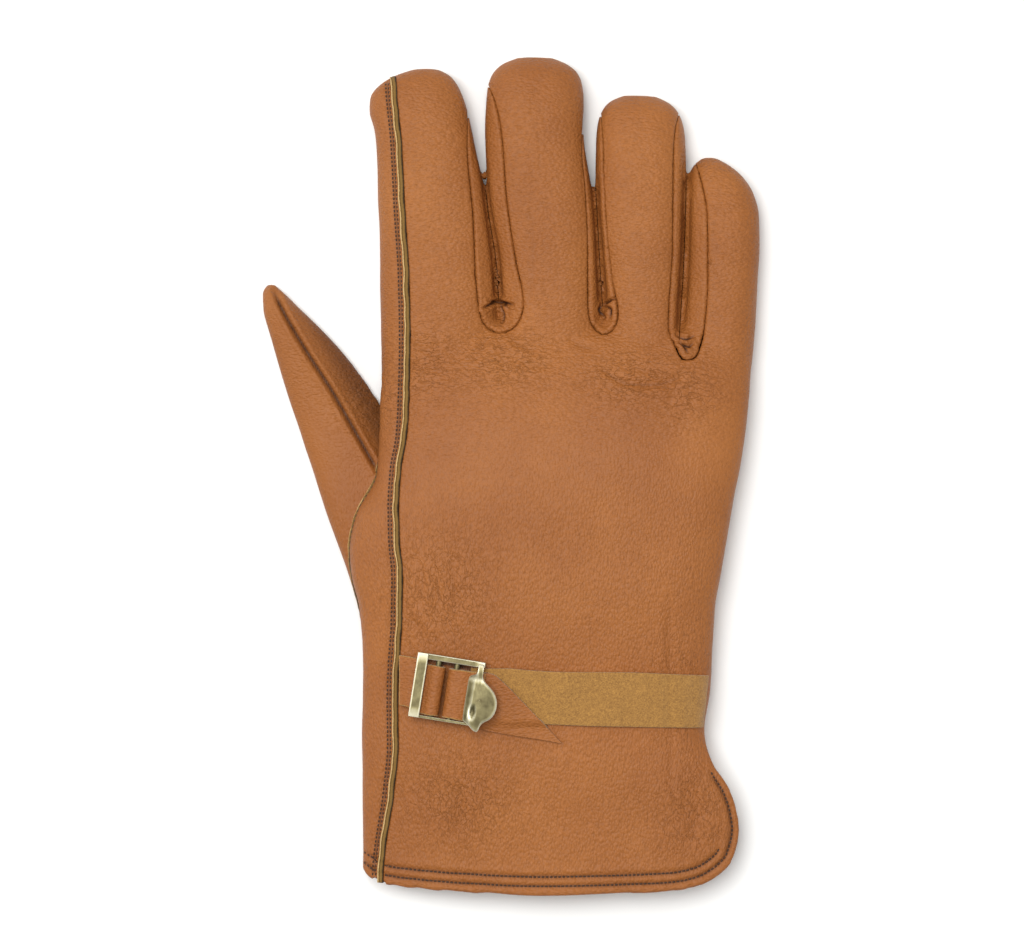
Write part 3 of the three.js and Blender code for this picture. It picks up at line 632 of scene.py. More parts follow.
def finger_edge(finger, column, y):
    """Where a finger's left or right silhouette lies at some heights, in mm."""
    rows = np.array(finger_rows[finger])
    return np.interp(y / GLOVE_LENGTH, rows[:, 0], rows[:, column]) * HAND_WIDTH


# A wall tapers to nothing at its tips, so the roll of its edges gets smaller with it
wall_plans, wall_rolls = {}, {}
for wall, seam in side_wall_seams.items():
    line = smooth_line(plan(seam), 90)
    left_finger, right_finger = wall.split("_")
    x, y = line.T
    before = np.arange(90) < np.argmin(y)
    width = np.where(before, finger_edge(left_finger, RIGHT_COLUMN, y) - x,
                     x - finger_edge(right_finger, LEFT_COLUMN, y))
    width += 9 * ease((0.78 - y / GLOVE_LENGTH) / 0.1)
    wall_plans[wall] = line
    wall_rolls[wall] = np.clip(0.3 * width, 0.22, ROLL)
seam_line = smooth_line(plan(outseam), 80)
cuff_line = smooth_line(plan(cuff_outline), 120)
gusset_plan = smooth_line(plan(gusset_outline + gusset_outline[:1]), 50)[:-1]
web_plan = plan([(-0.5, 0.44), (-0.27, 0.44), (-0.27, 0.67), (-0.5, 0.67)])
web_top = WEB_LIFT + 2


def index_side(reach):
    """The space left of the outseam, as far as reach past it."""
    line = seam_line + [reach, 0]
    return np.vstack([[[-FAR, -FAR]], [[line[0, 0], -FAR]], line, [[line[-1, 0], FAR]],
                      [[-FAR, FAR]]])


def beside(line, reach):
    """A line moved sideways, to the left of the way it runs."""
    way = np.gradient(line, axis=0)
    way /= np.linalg.norm(way, axis=1, keepdims=True)
    return line + np.stack([-way[:, 1], way[:, 0]], 1) * reach


# The folded hem stands out by its radius, so the cut lies that much further in
FOLD_OUT = 1.0
hem_cut = beside(cuff_line, FOLD_OUT)
hem_plan = np.vstack([[[-FAR, hem_cut[0, 1]]], hem_cut, [[FAR, hem_cut[-1, 1]]],
                      [[FAR, FAR]], [[-FAR, FAR]]])


def middle_of(wall):
    return (wall_plans[wall][:, 0].min() + wall_plans[wall][:, 0].max()) / 2


MIDDLE_BASE = 0.633 * GLOVE_LENGTH
RING_BASE_LEFT, RING_BASE_RIGHT = 0.633 * GLOVE_LENGTH, 0.604 * GLOVE_LENGTH
left_fork, mid_fork, right_fork = (middle_of(wall) for wall in wall_plans)
middle_front_plan = [(left_fork, MIDDLE_BASE), (mid_fork, MIDDLE_BASE),
                     (mid_fork - 1.7, FAR), (left_fork - 3.9, FAR)]
ring_front_plan = [(mid_fork, RING_BASE_LEFT), (right_fork, RING_BASE_RIGHT),
                   (right_fork, FAR), (mid_fork, FAR)]
print("seams drawn:", len(side_wall_seams) + 4)

# %% [markdown]
# A sewing machine pulls its thread tight, so every row of stitches lies in a shallow
# channel, and where two fingers lie against each other both leathers roll down into a
# valley. These are pressed into the skins together with the creases drawn above, and
# their bottoms get painted shade as well.

# %% Press creases, channels and valleys into the skins
OUTSEAM_ROWS = (-1.3, -2.2)
HEM_OUTER, HEM_INNER = 2.3, 5.0
HEM_PITCH = 1.2
palm_arcs = [
    [(622, 491), (672, 507), (699, 533), (720, 564), (729, 598), (736, 629), (735, 653),
     (725, 674), (699, 697), (672, 708), (626, 700)],
    [(620, 504), (664, 519), (688, 542), (708, 570), (717, 601), (723, 629), (722, 648),
     (714, 664), (692, 684), (668, 694), (626, 687)],
]
refined(hand_skin, webs)
bottom_of_cuff = cuff_line[:, 1] < 0.05 * GLOVE_LENGTH
hem_lines = [beside(cuff_line, HEM_OUTER)[3:-12], beside(cuff_line[bottom_of_cuff], HEM_INNER)[3:-1]]
palm_lines = [smooth_line(seen(arc), 60) for arc in palm_arcs]
# The last number of each is the painted shade along its bottom
channels = [(line, 0.55, 0.8, 0.7) for line in hem_lines]
outseam_channel = [(seam_line + [sum(OUTSEAM_ROWS) / 2, 0], 0.45, 0.95, 0.55)]
valleys = [(smooth_line(seen(parting)), 0.9, 1.1, 0.3) for parting in finger_partings]
palm_channels = [(line, 0.35, 0.75, 0.5) for line in palm_lines]
# The back is darker where the buckle's open side keeps the light off it
under_rail = [(smooth_line(seen([(650, 658), (680, 663.5), (712, 670)])), 0.1, 1.6, 0.9),
              (smooth_line(seen([(651, 659.5), (680, 665), (712, 671.5)])), 0.1, 1.6, 0.9)]
worn(hand_skin, drawn_on(back_creases) + under_rail + channels + outseam_channel + valleys,
     drawn_on(front_creases) + channels + valleys + palm_channels, 3)
worn(thumb_skin, drawn_on(thumb_creases), [], 11)
# The thumb's inner half falls away from its crease
bend_points = points_of(thumb_skin)
crease_start, crease_end = seen([(503, 292), (606, 471)])
along = (crease_end - crease_start) / np.linalg.norm(crease_end - crease_start)
past = (bend_points[:, :2] - crease_start) @ [-along[1], along[0]]
bend_points[:, 2] *= 1 - 0.05 * np.clip(past, 0, 9)
put_points(thumb_skin, bend_points)
# Painted shade on the thumb's inner half, which falls away from the light, over a slightly darker
# tone for the whole thumb
thumb_shade_layer = thumb_skin.data.attributes["crease"]
thumb_shade = np.empty(len(bend_points), np.float32)
thumb_shade_layer.data.foreach_get("value", thumb_shade)
thumb_shade = np.maximum(thumb_shade, 0.1 + 0.44 * ease(past / 7)).astype(np.float32)
thumb_shade_layer.data.foreach_set("value", thumb_shade)
print("channels and valleys:", len(channels) + len(valleys) + len(palm_channels) + 1)

# %% [markdown]
# Seams, stitches and the strap are laid on the leather later. To find its height at a
# place, a ray is shot at the whole skin from above or below, as a finger feels for it.

# %% Feel for the surface of the leather
def feeler(*parts):
    corners, faces = [], []
    for part in parts:
        start = len(corners)
        corners += [Vector(p) for p in points_of(part)]
        faces += [[start + v for v in face.vertices] for face in part.data.polygons]
    return BVHTree.FromPolygons(corners, faces)


skin_tree = feeler(hand_skin)
thumb_tree = feeler(thumb_skin)


def touch(x, y, tree=skin_tree, above=True):
    """The point and the normal of the leather over or under a place of the plan."""
    start, way = (80, -1) if above else (-20, 1)
    place, normal, _, _ = tree.ray_cast(Vector((x, y, start)), Vector((0, 0, way)))
    if place is None:
        place, normal, _, _ = tree.find_nearest(Vector((x, y, 9)))
    if normal.z * way > 0 and above:
        normal = -normal
    return place, normal


print("height of the middle of the back in mm:", round(touch(0, 120)[0].z, 1))

# %% Part the fingers, then cut the pieces out
# A little leather is left deep between two fingers, as where their seams meet
PARTING = 0.16
PARTING_FLOOR = 6.5
for part in (hand_skin, thumb_skin):
    part.data.materials.append(None)
    part.data.materials.append(None)
for parting in finger_partings:
    middle_line = smooth_line(seen(parting), 24)
    taper = np.linspace(PARTING, PARTING * 0.6, 24)[:, None] * [1, 0]
    for bottom, top in ((LOW, PARTING_FLOOR - 0.5), (PARTING_FLOOR + 0.5, HIGH)):
        blade = block(np.vstack([middle_line - taper, (middle_line + taper)[::-1]]), bottom, top)
        blade.data.polygons.foreach_set("material_index", [0] * len(blade.data.polygons))
        carve(hand_skin, blade, "DIFFERENCE")


def sheet_of(skin, name, room, *without):
    """The part of a skin inside a room, opened where the room cut it."""
    piece = carve(copied(skin, name), room, "INTERSECT")
    for other in without:
        carve(piece, other, "DIFFERENCE")
    made = bmesh.new()
    made.from_mesh(piece.data)
    cut = [face for face in made.faces if face.material_index == 1]
    bmesh.ops.delete(made, geom=cut, context="FACES")
    bmesh.ops.remove_doubles(made, verts=made.verts, dist=0.12 * MM)
    loose = [vert for vert in made.verts if not vert.link_faces]
    bmesh.ops.delete(made, geom=loose, context="VERTS")
    made.to_mesh(piece.data)
    made.free()
    return piece


edge = ROLL + SEAM_GAP
hem_room = block(hem_plan, LOW, HIGH)

upper = block(big_plan, FRONT_TOP + edge, HIGH)
carve(upper, block(grown(web_plan, edge), LOW, web_top + edge), "DIFFERENCE")
carve(upper, block(index_side(0.9 + HALF_ROLL), LOW, HIGH), "DIFFERENCE")
for wall, outline in wall_plans.items():
    carve(upper, block(grown(outline, wall_rolls[wall] + SEAM_GAP), LOW, HIGH), "DIFFERENCE")
carve(upper, hem_room, "INTERSECT", keep_other=True)
back = sheet_of(hand_skin, "back_shell_leather", upper)

lower = block(big_plan, LOW, FRONT_TOP - edge)
carve(lower, block(web_plan, LOW, web_top), "UNION")
carve(lower, block(index_side(-0.8 - TIGHT_ROLL), LOW, HIGH), "UNION")
for wall, outline in wall_plans.items():
    carve(lower, block(grown(outline, wall_rolls[wall] + SEAM_GAP), LOW, HIGH), "DIFFERENCE")
carve(lower, block(grown(middle_front_plan, edge), LOW, FRONT_TOP), "DIFFERENCE")
carve(lower, block(grown(ring_front_plan, edge), LOW, FRONT_TOP), "DIFFERENCE")
carve(lower, block(grown(gusset_plan, edge), LOW, ROOT_LIFT + 2.5), "DIFFERENCE")
carve(lower, hem_room, "INTERSECT", keep_other=True)
thumb_room = copied(thumb_skin, "thumb_room")
thumb_room.data.polygons.foreach_set("material_index", [1] * len(thumb_room.data.polygons))
palm = sheet_of(hand_skin, "palm_shell_leather", lower, copied(thumb_room, "a_room"))

fronts = {}
for finger, outline in (("middle", middle_front_plan), ("ring", ring_front_plan)):
    room = block(grown(outline, -edge), LOW, FRONT_TOP - edge)
    for wall, wall_plan in wall_plans.items():
        carve(room, block(grown(wall_plan, wall_rolls[wall] + SEAM_GAP), LOW, HIGH), "DIFFERENCE")
    fronts[finger] = sheet_of(hand_skin, finger + "_finger_front_leather", room)

walls = {}
for wall, outline in wall_plans.items():
    walls[wall] = sheet_of(hand_skin, "side_wall_" + wall + "_leather",
                           block(grown(outline, -wall_rolls[wall] - SEAM_GAP), LOW, HIGH))

gusset = sheet_of(hand_skin, "thumb_gusset_leather",
                  block(grown(gusset_plan, -0.3), LOW, ROOT_LIFT + 2.5), thumb_room)
hand_room = copied(hand_skin, "hand_room")
hand_room.data.polygons.foreach_set("material_index", [1] * len(hand_room.data.polygons))
thumb = sheet_of(thumb_skin, "thumb_leather", block(big_plan, LOW, HIGH), hand_room)
sheets = [back, palm, *fronts.values(), *walls.values(), gusset, thumb]
print({piece.name: len(piece.data.polygons) for piece in sheets})

# %% [markdown]
# Leather is turned in at a seam, so its edge rolls away from the eye, and at the hem it
# is folded right back inside. Both are the same work: the edge of the sheet is extruded
# in small steps along a curve. Solidify then gives the sheet its real thickness, with
# the rough flesh side inwards.

# %% Roll the edges in, fold the hem and give the leather its thickness
HEM_RADIUS = 1.05
HEM_RETURN = 6.0


ALLOWANCE = 1.3


def quarter(radius, steps=4):
    """A quarter round, with the seam allowance that stands inside the glove."""
    turns = [math.pi / 2 * (k + 1) / steps for k in range(steps)]
    arc = [(radius * math.sin(t), radius * (1 - math.cos(t))) for t in turns]
    return arc + [(radius, radius + ALLOWANCE)]


def folded(radius, back_by, steps=8):
    turns = [math.pi * (k + 1) / steps for k in range(steps)]
    arc = [(radius * math.sin(t), radius * (1 - math.cos(t))) for t in turns]
    return arc + [(-back_by * k / 4, 2 * radius) for k in (1, 2, 3, 4)]


def turn_edge(piece, profile_of):
    """Extrudes every open edge along the profile that belongs to its place."""
    made = bmesh.new()
    made.from_mesh(piece.data)
    made.normal_update()
    rim = [e for e in made.edges if e.is_boundary]
    away, down, start = {}, {}, {}
    for e in rim:
        face = e.link_faces[0]
        across = face.normal.cross(e.verts[1].co - e.verts[0].co).normalized()
        middle = (e.verts[0].co + e.verts[1].co) / 2
        if across.dot(middle - face.calc_center_median()) < 0:
            across.negate()
        for vert in e.verts:
            away[vert] = away.get(vert, Vector()) + across * e.calc_length()
    for vert in away:
        start[vert] = vert.co.copy()
        down[vert] = -vert.normal
    neighbours = {vert: [e.other_vert(vert) for e in vert.link_edges if e.is_boundary]
                  for vert in away}
    for _ in range(6):
        away = {v: away[v] + sum((away[n] for n in neighbours[v]), Vector()) for v in away}
        down = {v: down[v] + sum((down[n] for n in neighbours[v]), Vector()) for v in down}
        away = {v: a.normalized() for v, a in away.items()}
        down = {v: d.normalized() for v, d in down.items()}
    profiles = {v: profile_of(v.co / MM - Vector((shift_x, shift_y, 0))) for v in away}
    longest = max(len(p) for p in profiles.values())
    root = {v: v for v in away}
    for step in range(longest):
        grown_edge = bmesh.ops.extrude_edge_only(made, edges=rim)["geom"]
        fresh = {g for g in grown_edge if isinstance(g, bmesh.types.BMVert)}
        rim = [g for g in grown_edge
               if isinstance(g, bmesh.types.BMEdge) and g.verts[0] in fresh and g.verts[1] in fresh
               and g.is_boundary]
        next_root = {}
        for vert in fresh:
            old = next(o for o in (e.other_vert(vert) for e in vert.link_edges) if o in root)
            first = root[old]
            profile = profiles[first]
            out, deep = profile[min(step, len(profile) - 1)]
            vert.co = start[first] + (away[first] * out + down[first] * deep) * MM
            next_root[vert] = first
        root = next_root
    bmesh.ops.recalc_face_normals(made, faces=made.faces)
    made.to_mesh(piece.data)
    made.free()


places_along = np.linspace(0, len(hem_cut) - 1, 1200)
dense_cut = np.stack([np.interp(places_along, range(len(hem_cut)), hem_cut[:, k])
                      for k in (0, 1)], 1)
cuff_tree = KDTree(len(dense_cut))
for i, point in enumerate(dense_cut):
    cuff_tree.insert((point[0], point[1], 0), i)
cuff_tree.balance()


def at_hem(point):
    return cuff_tree.find((point.x, point.y, 0))[2] < 0.5 and point.y < 0.19 * GLOVE_LENGTH


seam_tree = KDTree(len(seam_line))
for i, point in enumerate(seam_line):
    seam_tree.insert((point[0], point[1], 0), i)
seam_tree.balance()


all_walls = np.vstack(list(wall_plans.values()))
all_rolls = np.concatenate(list(wall_rolls.values()))
wall_tree = KDTree(len(all_walls))
for i, point in enumerate(all_walls):
    wall_tree.insert((point[0], point[1], 0), i)
wall_tree.balance()


def seam_or_hem(point):
    near_seam = seam_tree.find((point.x, point.y, 0))
    if near_seam[2] < 2.2 and point.z > 8:
        return quarter(TIGHT_ROLL if point.x < near_seam[0].x else HALF_ROLL)
    if at_hem(point):
        on_bottom = point.x < 0.44 * HAND_WIDTH and point.y < 0.04 * GLOVE_LENGTH
        return folded(HEM_RADIUS, HEM_RETURN) if on_bottom else folded(0.8, 1.5)
    _, nearest, distance = wall_tree.find((point.x, point.y, 0))
    return quarter(float(all_rolls[nearest])) if distance < 1.4 else quarter(ROLL)


for piece in (back, palm, *fronts.values(), *walls.values()):
    turn_edge(piece, seam_or_hem)


TRIANGLES_MOST = 195000


def thickened(piece, thick):
    """Gives a sheet its wall inwards, then joins faces where the leather is nearly flat."""
    pick(piece)
    wall = piece.modifiers.new("thickness", "SOLIDIFY")
    wall.thickness = thick * MM
    wall.offset = -1
    wall.use_even_offset = False
    wall.material_offset = 1
    wall.material_offset_rim = 1
    bpy.ops.object.modifier_apply(modifier=wall.name)
    triangles = sum(len(face.vertices) - 2 for face in piece.data.polygons)
    if triangles > TRIANGLES_MOST:
        fewer = piece.modifiers.new("fewer_faces", "DECIMATE")
        fewer.ratio = TRIANGLES_MOST / triangles
        bpy.ops.object.modifier_apply(modifier=fewer.name)
    bpy.ops.object.shade_smooth()


thumb_rim = bmesh.new()
thumb_rim.from_mesh(thumb.data)
thumb_rim.normal_update()
thumb_rim.verts.ensure_lookup_table()
for piece in sheets:
    thickened(piece, LEATHER)
print("leather thickness in mm:", LEATHER)

# %% [markdown]
# The finishes. The leather is smooth grain leather, dyed through and lightly waxed: fine
# pebbles of the grain, small wrinkles and a soft sheen, with painted shade in its creases,
# wrinkles, channels and valleys. Inside it shows its flesh side, which is suede. The
# buckle is brass, browned and rubbed bright.

# %% Finishes
def linear(hex_colour):
    """An sRGB hex colour as linear RGBA."""
    parts = [int(hex_colour[i:i + 2], 16) / 255 for i in (1, 3, 5)]
    return [p / 12.92 if p <= 0.04045 else ((p + 0.055) / 1.055) ** 2.4 for p in parts] + [1]


def node(material, kind, settings=None, **links):
    """Adds one node, sets what is given by name, and links its inputs."""
    made = material.node_tree.nodes.new(kind)
    for name, value in (settings or {}).items():
        if isinstance(name, str) and hasattr(made, name):
            setattr(made, name, value)
        else:
            made.inputs[name].default_value = value
    for name, source in links.items():
        key = int(name[1:]) if name[0] == "i" and name[1:].isdigit() else name.replace("_", " ")
        material.node_tree.links.new(source, made.inputs[key])
    return made


def new_material(name):
    material = bpy.data.materials.new(name)
    material.use_nodes = True
    shader = material.node_tree.nodes["Principled BSDF"]
    return material, shader


def grain_leather(name, base, light, deep):
    """Aniline-dyed grain leather: ripples and pebbles under 1 mm, wrinkles, soft sheen."""
    material, shader = new_material(name)
    link = material.node_tree.links.new
    place = node(material, "ShaderNodeTexCoord").outputs["Object"]
    crease = node(material, "ShaderNodeAttribute", {"attribute_name": "crease"})
    gather = node(material, "ShaderNodeAttribute", {"attribute_name": "gather"})
    lie = node(material, "ShaderNodeAttribute", {"attribute_name": "lie"})
    # Patches of stronger and weaker dye, about 30 mm wide
    patch = node(material, "ShaderNodeTexNoise", {"Scale": 33.0, "Detail": 3.0}, Vector=place)
    ramp = node(material, "ShaderNodeValToRGB", i0=patch.outputs["Fac"])
    ramp.color_ramp.elements[0].position = 0.3
    ramp.color_ramp.elements[0].color = linear(base)
    ramp.color_ramp.elements[1].position = 0.72
    ramp.color_ramp.elements[1].color = linear(light)
    # Pebbles of the grain, 0.7 by 1.1 mm, ripples of the same size, and wrinkles drawn
    # about 1.7 mm apart, where a stretched noise crosses its middle. One set lies across
    # the hand, the other along it, and the lie of the leather mixes them
    pebbles, ripples, nets = [], [], []
    for stretch in ((0.58, 1.0, 0.8), (1.0, 0.58, 0.8)):
        pulled = node(material, "ShaderNodeMapping", {"Scale": stretch}, Vector=place)
        pebbles.append(node(material, "ShaderNodeTexVoronoi", {"Scale": 1500.0},
                            Vector=pulled.outputs[0]))
        ripples.append(node(material, "ShaderNodeTexNoise",
                            {"Scale": 1600.0, "Detail": 3.0, "Distortion": 0.3},
                            Vector=pulled.outputs[0]))
        net = node(material, "ShaderNodeTexNoise",
                   {"Scale": 560.0, "Detail": 3.0, "Roughness": 0.55, "Distortion": 0.6},
                   Vector=pulled.outputs[0])
        offset = node(material, "ShaderNodeMath", {"operation": "SUBTRACT", 1: 0.5},
                      i0=net.outputs["Fac"])
        nets.append(node(material, "ShaderNodeMath", {"operation": "ABSOLUTE"},
                         i0=offset.outputs[0]))
    ripple = node(material, "ShaderNodeMix", {}, i0=lie.outputs["Fac"],
                  i2=ripples[0].outputs["Fac"], i3=ripples[1].outputs["Fac"])
    mixed = node(material, "ShaderNodeMix", {}, i0=lie.outputs["Fac"], i2=nets[0].outputs[0],
                 i3=nets[1].outputs[0])
    pebble = node(material, "ShaderNodeMix", {}, i0=lie.outputs["Fac"],
                  i2=pebbles[0].outputs["Distance"], i3=pebbles[1].outputs["Distance"])
    wrinkle = node(material, "ShaderNodeMapRange",
                   {"From Max": 0.032, "interpolation_type": "SMOOTHSTEP"},
                   Value=mixed.outputs[0])
    deepness = node(material, "ShaderNodeMapRange", {"From Min": 0.1, "To Min": 0.12, "To Max": 0.65},
                    Value=gather.outputs["Fac"])
    lines = node(material, "ShaderNodeMath", {"operation": "MULTIPLY"},
                 i0=wrinkle.outputs[0], i1=deepness.outputs[0])
    grain = node(material, "ShaderNodeMath", {"operation": "MULTIPLY_ADD", 1: -1.1},
                 i0=pebble.outputs[0], i2=lines.outputs[0])
    height = node(material, "ShaderNodeMath", {"operation": "MULTIPLY_ADD", 1: 1.0},
                  i0=ripple.outputs[0], i2=grain.outputs[0])
    bump = node(material, "ShaderNodeBump", {"Strength": 0.9, "Distance": 0.00026},
                Height=height.outputs[0])
    # Painted shade darkens the wrinkles and the low side of the ripples
    dip = node(material, "ShaderNodeMath", {"operation": "SUBTRACT", 0: 1.0},
               i1=wrinkle.outputs[0])
    stain = node(material, "ShaderNodeMath", {"operation": "MULTIPLY"},
                 i0=dip.outputs[0], i1=deepness.outputs[0])
    ripple_low_shade = node(material, "ShaderNodeMapRange",
                    {"From Min": 0.62, "From Max": 0.32, "To Max": 0.17}, Value=ripple.outputs[0])
    wrinkle_and_ripple_shade = node(material, "ShaderNodeMath", {"operation": "MULTIPLY_ADD", 1: 0.1},
                 i0=stain.outputs[0], i2=ripple_low_shade.outputs[0])
    # The painted shade of creases, channels and valleys joins from the attribute crease and darkens
    # the colour towards the deep one
    shade = node(material, "ShaderNodeMath", {"operation": "MAXIMUM"},
                 i0=wrinkle_and_ripple_shade.outputs[0], i1=crease.outputs["Fac"])
    mix = node(material, "ShaderNodeMix", {"data_type": "RGBA"})
    link(shade.outputs[0], mix.inputs["Factor"])
    link(ramp.outputs["Color"], mix.inputs[6])
    mix.inputs[7].default_value = linear(deep)
    link(mix.outputs[2], shader.inputs["Base Color"])
    link(bump.outputs[0], shader.inputs["Normal"])
    shine = node(material, "ShaderNodeMapRange", {"To Min": 0.48, "To Max": 0.64},
                 Value=ripple.outputs[0])
    link(shine.outputs[0], shader.inputs["Roughness"])
    shader.inputs["Specular IOR Level"].default_value = 0.35
    return material


def suede(name, base, light):
    """The napped flesh side of the leather: fine tufts under 0.5 mm, no gloss."""
    material, shader = new_material(name)
    link = material.node_tree.links.new
    place = node(material, "ShaderNodeTexCoord").outputs["Object"]
    tuft = node(material, "ShaderNodeTexNoise", {"Scale": 2300.0, "Detail": 4.0,
                                                 "Roughness": 0.65}, Vector=place)
    nap = node(material, "ShaderNodeTexNoise", {"Scale": 900.0, "Detail": 5.0,
                                                "Roughness": 0.65}, Vector=place)
    mixed = node(material, "ShaderNodeMath", {"operation": "MULTIPLY_ADD", 1: 0.5},
                 i0=nap.outputs["Fac"], i2=tuft.outputs["Fac"])
    ramp = node(material, "ShaderNodeValToRGB", i0=mixed.outputs[0])
    ramp.color_ramp.elements[0].position = 0.5
    ramp.color_ramp.elements[0].color = linear(base)
    ramp.color_ramp.elements[1].position = 1.0
    ramp.color_ramp.elements[1].color = linear(light)
    bump = node(material, "ShaderNodeBump", {"Strength": 0.8, "Distance": 0.00035},
                Height=tuft.outputs["Fac"])
    link(ramp.outputs["Color"], shader.inputs["Base Color"])
    link(bump.outputs[0], shader.inputs["Normal"])
    shader.inputs["Roughness"].default_value = 0.95
    shader.inputs["Sheen Weight"].default_value = 0.25
    return material


# The last colour is the dark brown that the painted shade mixes in
tan_leather = grain_leather("aniline_grain_leather", "#915421", "#a0612a", "#2c1206")
flesh_side = suede("suede_flesh_side", "#7a5324", "#b48440")


def cut_edge(name):
    """The raw edge of two leathers: one cut clean and pale, one frayed and olive gold."""
    material, shader = new_material(name)
    link = material.node_tree.links.new
    place = node(material, "ShaderNodeTexCoord").outputs["Object"]
    side = node(material, "ShaderNodeAttribute", {"attribute_name": "side"})
    # Fibres about 0.5 mm apart and longer patches of wear
    fibre = node(material, "ShaderNodeTexNoise", {"Scale": 1700.0, "Detail": 5.0}, Vector=place)
    wear = node(material, "ShaderNodeTexNoise", {"Scale": 190.0, "Detail": 3.0}, Vector=place)
    moved = node(material, "ShaderNodeMath", {"operation": "MULTIPLY_ADD", 1: 0.22},
                 i0=fibre.outputs["Fac"], i2=side.outputs["Fac"])
    ramp = node(material, "ShaderNodeValToRGB", i0=moved.outputs[0])
    stops = ramp.color_ramp.elements
    # Across the strip from left to right: painted shadow down the left flank, the pale clean cut, a
    # dark line where the two edges meet, the olive gold frayed edge and painted shadow down the right
    # flank
    stops[0].position, stops[0].color = 0.12, linear("#6a461c")
    stops[1].position, stops[1].color = 0.2, linear("#d8b984")
    for position, colour in ((0.34, "#b58f55"), (0.42, "#5c4119"), (0.52, "#86662d"),
                             (0.88, "#7d5d28"), (1.0, "#3c2a10")):
        stops.new(position).color = linear(colour)
    blotch = node(material, "ShaderNodeMix", {"data_type": "RGBA", "blend_type": "MULTIPLY"})
    link(ramp.outputs["Color"], blotch.inputs[6])
    dim = node(material, "ShaderNodeValToRGB", i0=wear.outputs["Fac"])
    dim.color_ramp.elements[0].color = linear("#b9b0a0")
    link(dim.outputs["Color"], blotch.inputs[7])
    blotch.inputs["Factor"].default_value = 0.5
    bump = node(material, "ShaderNodeBump", {"Strength": 0.8, "Distance": 0.0003},
                Height=fibre.outputs["Fac"])
    link(blotch.outputs[2], shader.inputs["Base Color"])
    link(bump.outputs[0], shader.inputs["Normal"])
    shader.inputs["Roughness"].default_value = 0.9
    return material


def thread(name, colour):
    """Waxed polyester thread, twisted at about 0.3 mm."""
    material, shader = new_material(name)
    link = material.node_tree.links.new
    place = node(material, "ShaderNodeTexCoord").outputs["Object"]
    twist = node(material, "ShaderNodeTexNoise", {"Scale": 2600.0, "Detail": 2.0}, Vector=place)
    ramp = node(material, "ShaderNodeValToRGB", i0=twist.outputs["Fac"])
    ramp.color_ramp.elements[0].color = linear(colour)
    ramp.color_ramp.elements[1].color = linear("#4a2c16")
    ramp.color_ramp.elements[1].position = 0.9
    bump = node(material, "ShaderNodeBump", {"Strength": 0.5, "Distance": 0.0001},
                Height=twist.outputs["Fac"])
    link(ramp.outputs["Color"], shader.inputs["Base Color"])
    link(bump.outputs[0], shader.inputs["Normal"])
    shader.inputs["Roughness"].default_value = 0.6
    return material


def antique_brass(name):
    """Browned brass, rubbed bright on its high edges, with fine brushed scratches."""
    material, shader = new_material(name)
    link = material.node_tree.links.new
    place = node(material, "ShaderNodeTexCoord").outputs["Object"]
    worn_edge = node(material, "ShaderNodeAttribute", {"attribute_name": "wear"})
    stain = node(material, "ShaderNodeTexNoise", {"Scale": 420.0, "Detail": 5.0}, Vector=place)
    brushed = node(material, "ShaderNodeMapping", {"Scale": (6.0, 1.0, 1.0)}, Vector=place)
    scratch = node(material, "ShaderNodeTexNoise", {"Scale": 700.0, "Detail": 4.0},
                   Vector=brushed.outputs[0])
    mixed = node(material, "ShaderNodeMath", {"operation": "MULTIPLY_ADD", 1: 0.35},
                 i0=stain.outputs["Fac"], i2=worn_edge.outputs["Fac"])
    ramp = node(material, "ShaderNodeValToRGB", i0=mixed.outputs[0])
    stops = ramp.color_ramp.elements
    stops[0].position, stops[0].color = 0.1, linear("#4f4730")
    stops[1].position, stops[1].color = 1.0, linear("#e2ddc4")
    stops.new(0.3).color = linear("#807856")
    bump = node(material, "ShaderNodeBump", {"Strength": 0.15, "Distance": 0.0001},
                Height=scratch.outputs["Fac"])
    link(ramp.outputs["Color"], shader.inputs["Base Color"])
    link(bump.outputs[0], shader.inputs["Normal"])
    gloss = node(material, "ShaderNodeMapRange", {"To Min": 0.42, "To Max": 0.62},
                 Value=scratch.outputs["Fac"])
    link(gloss.outputs[0], shader.inputs["Roughness"])
    shader.inputs["Metallic"].default_value = 0.9
    return material


raw_edge = cut_edge("cut_leather_edge")
brown_thread = thread("waxed_thread", "#1c0d05")
brass = antique_brass("antiqued_brass")
for piece in sheets:
    piece.data.materials.clear()
    piece.data.materials.append(tan_leather)
    piece.data.materials.append(flesh_side)
print("finishes:", tan_leather.name, flesh_side.name)

# %% Say what each sheet of leather stands for
stands_for = {
    back: "back_shell", palm: "palm_shell", fronts["middle"]: "middle_finger_front",
    fronts["ring"]: "ring_finger_front", gusset: "thumb_gusset", thumb: "thumb",
}
for wall, piece in walls.items():
    stands_for[piece] = "side_wall_" + wall
for piece, cad_node in stands_for.items():
    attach(piece, "root")
    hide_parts(cad_node)
for part in (hand_skin, thumb_skin, hem_room):
    bpy.data.objects.remove(part)

# %% [markdown]
# Along the outseam the edges of both leathers are left raw and stand up as a strip
# about 2 mm wide: a pale clean cut beside a frayed, olive gold one. The section of the
# strip is swept along the seam, and a little noise makes it wander as a hand-cut edge.

# %% The raw edge along the outseam
# The section from left to right: sideways and up in mm
strip_section = [
    (-0.78, -1.5), (-0.80, 0.05), (-0.70, 0.30), (-0.45, 0.40), (-0.22, 0.28), (-0.14, 0.02),
    (-0.04, 0.30), (0.22, 0.52), (0.60, 0.52), (0.90, 0.34), (1.02, 0.02), (1.02, -1.5),
]


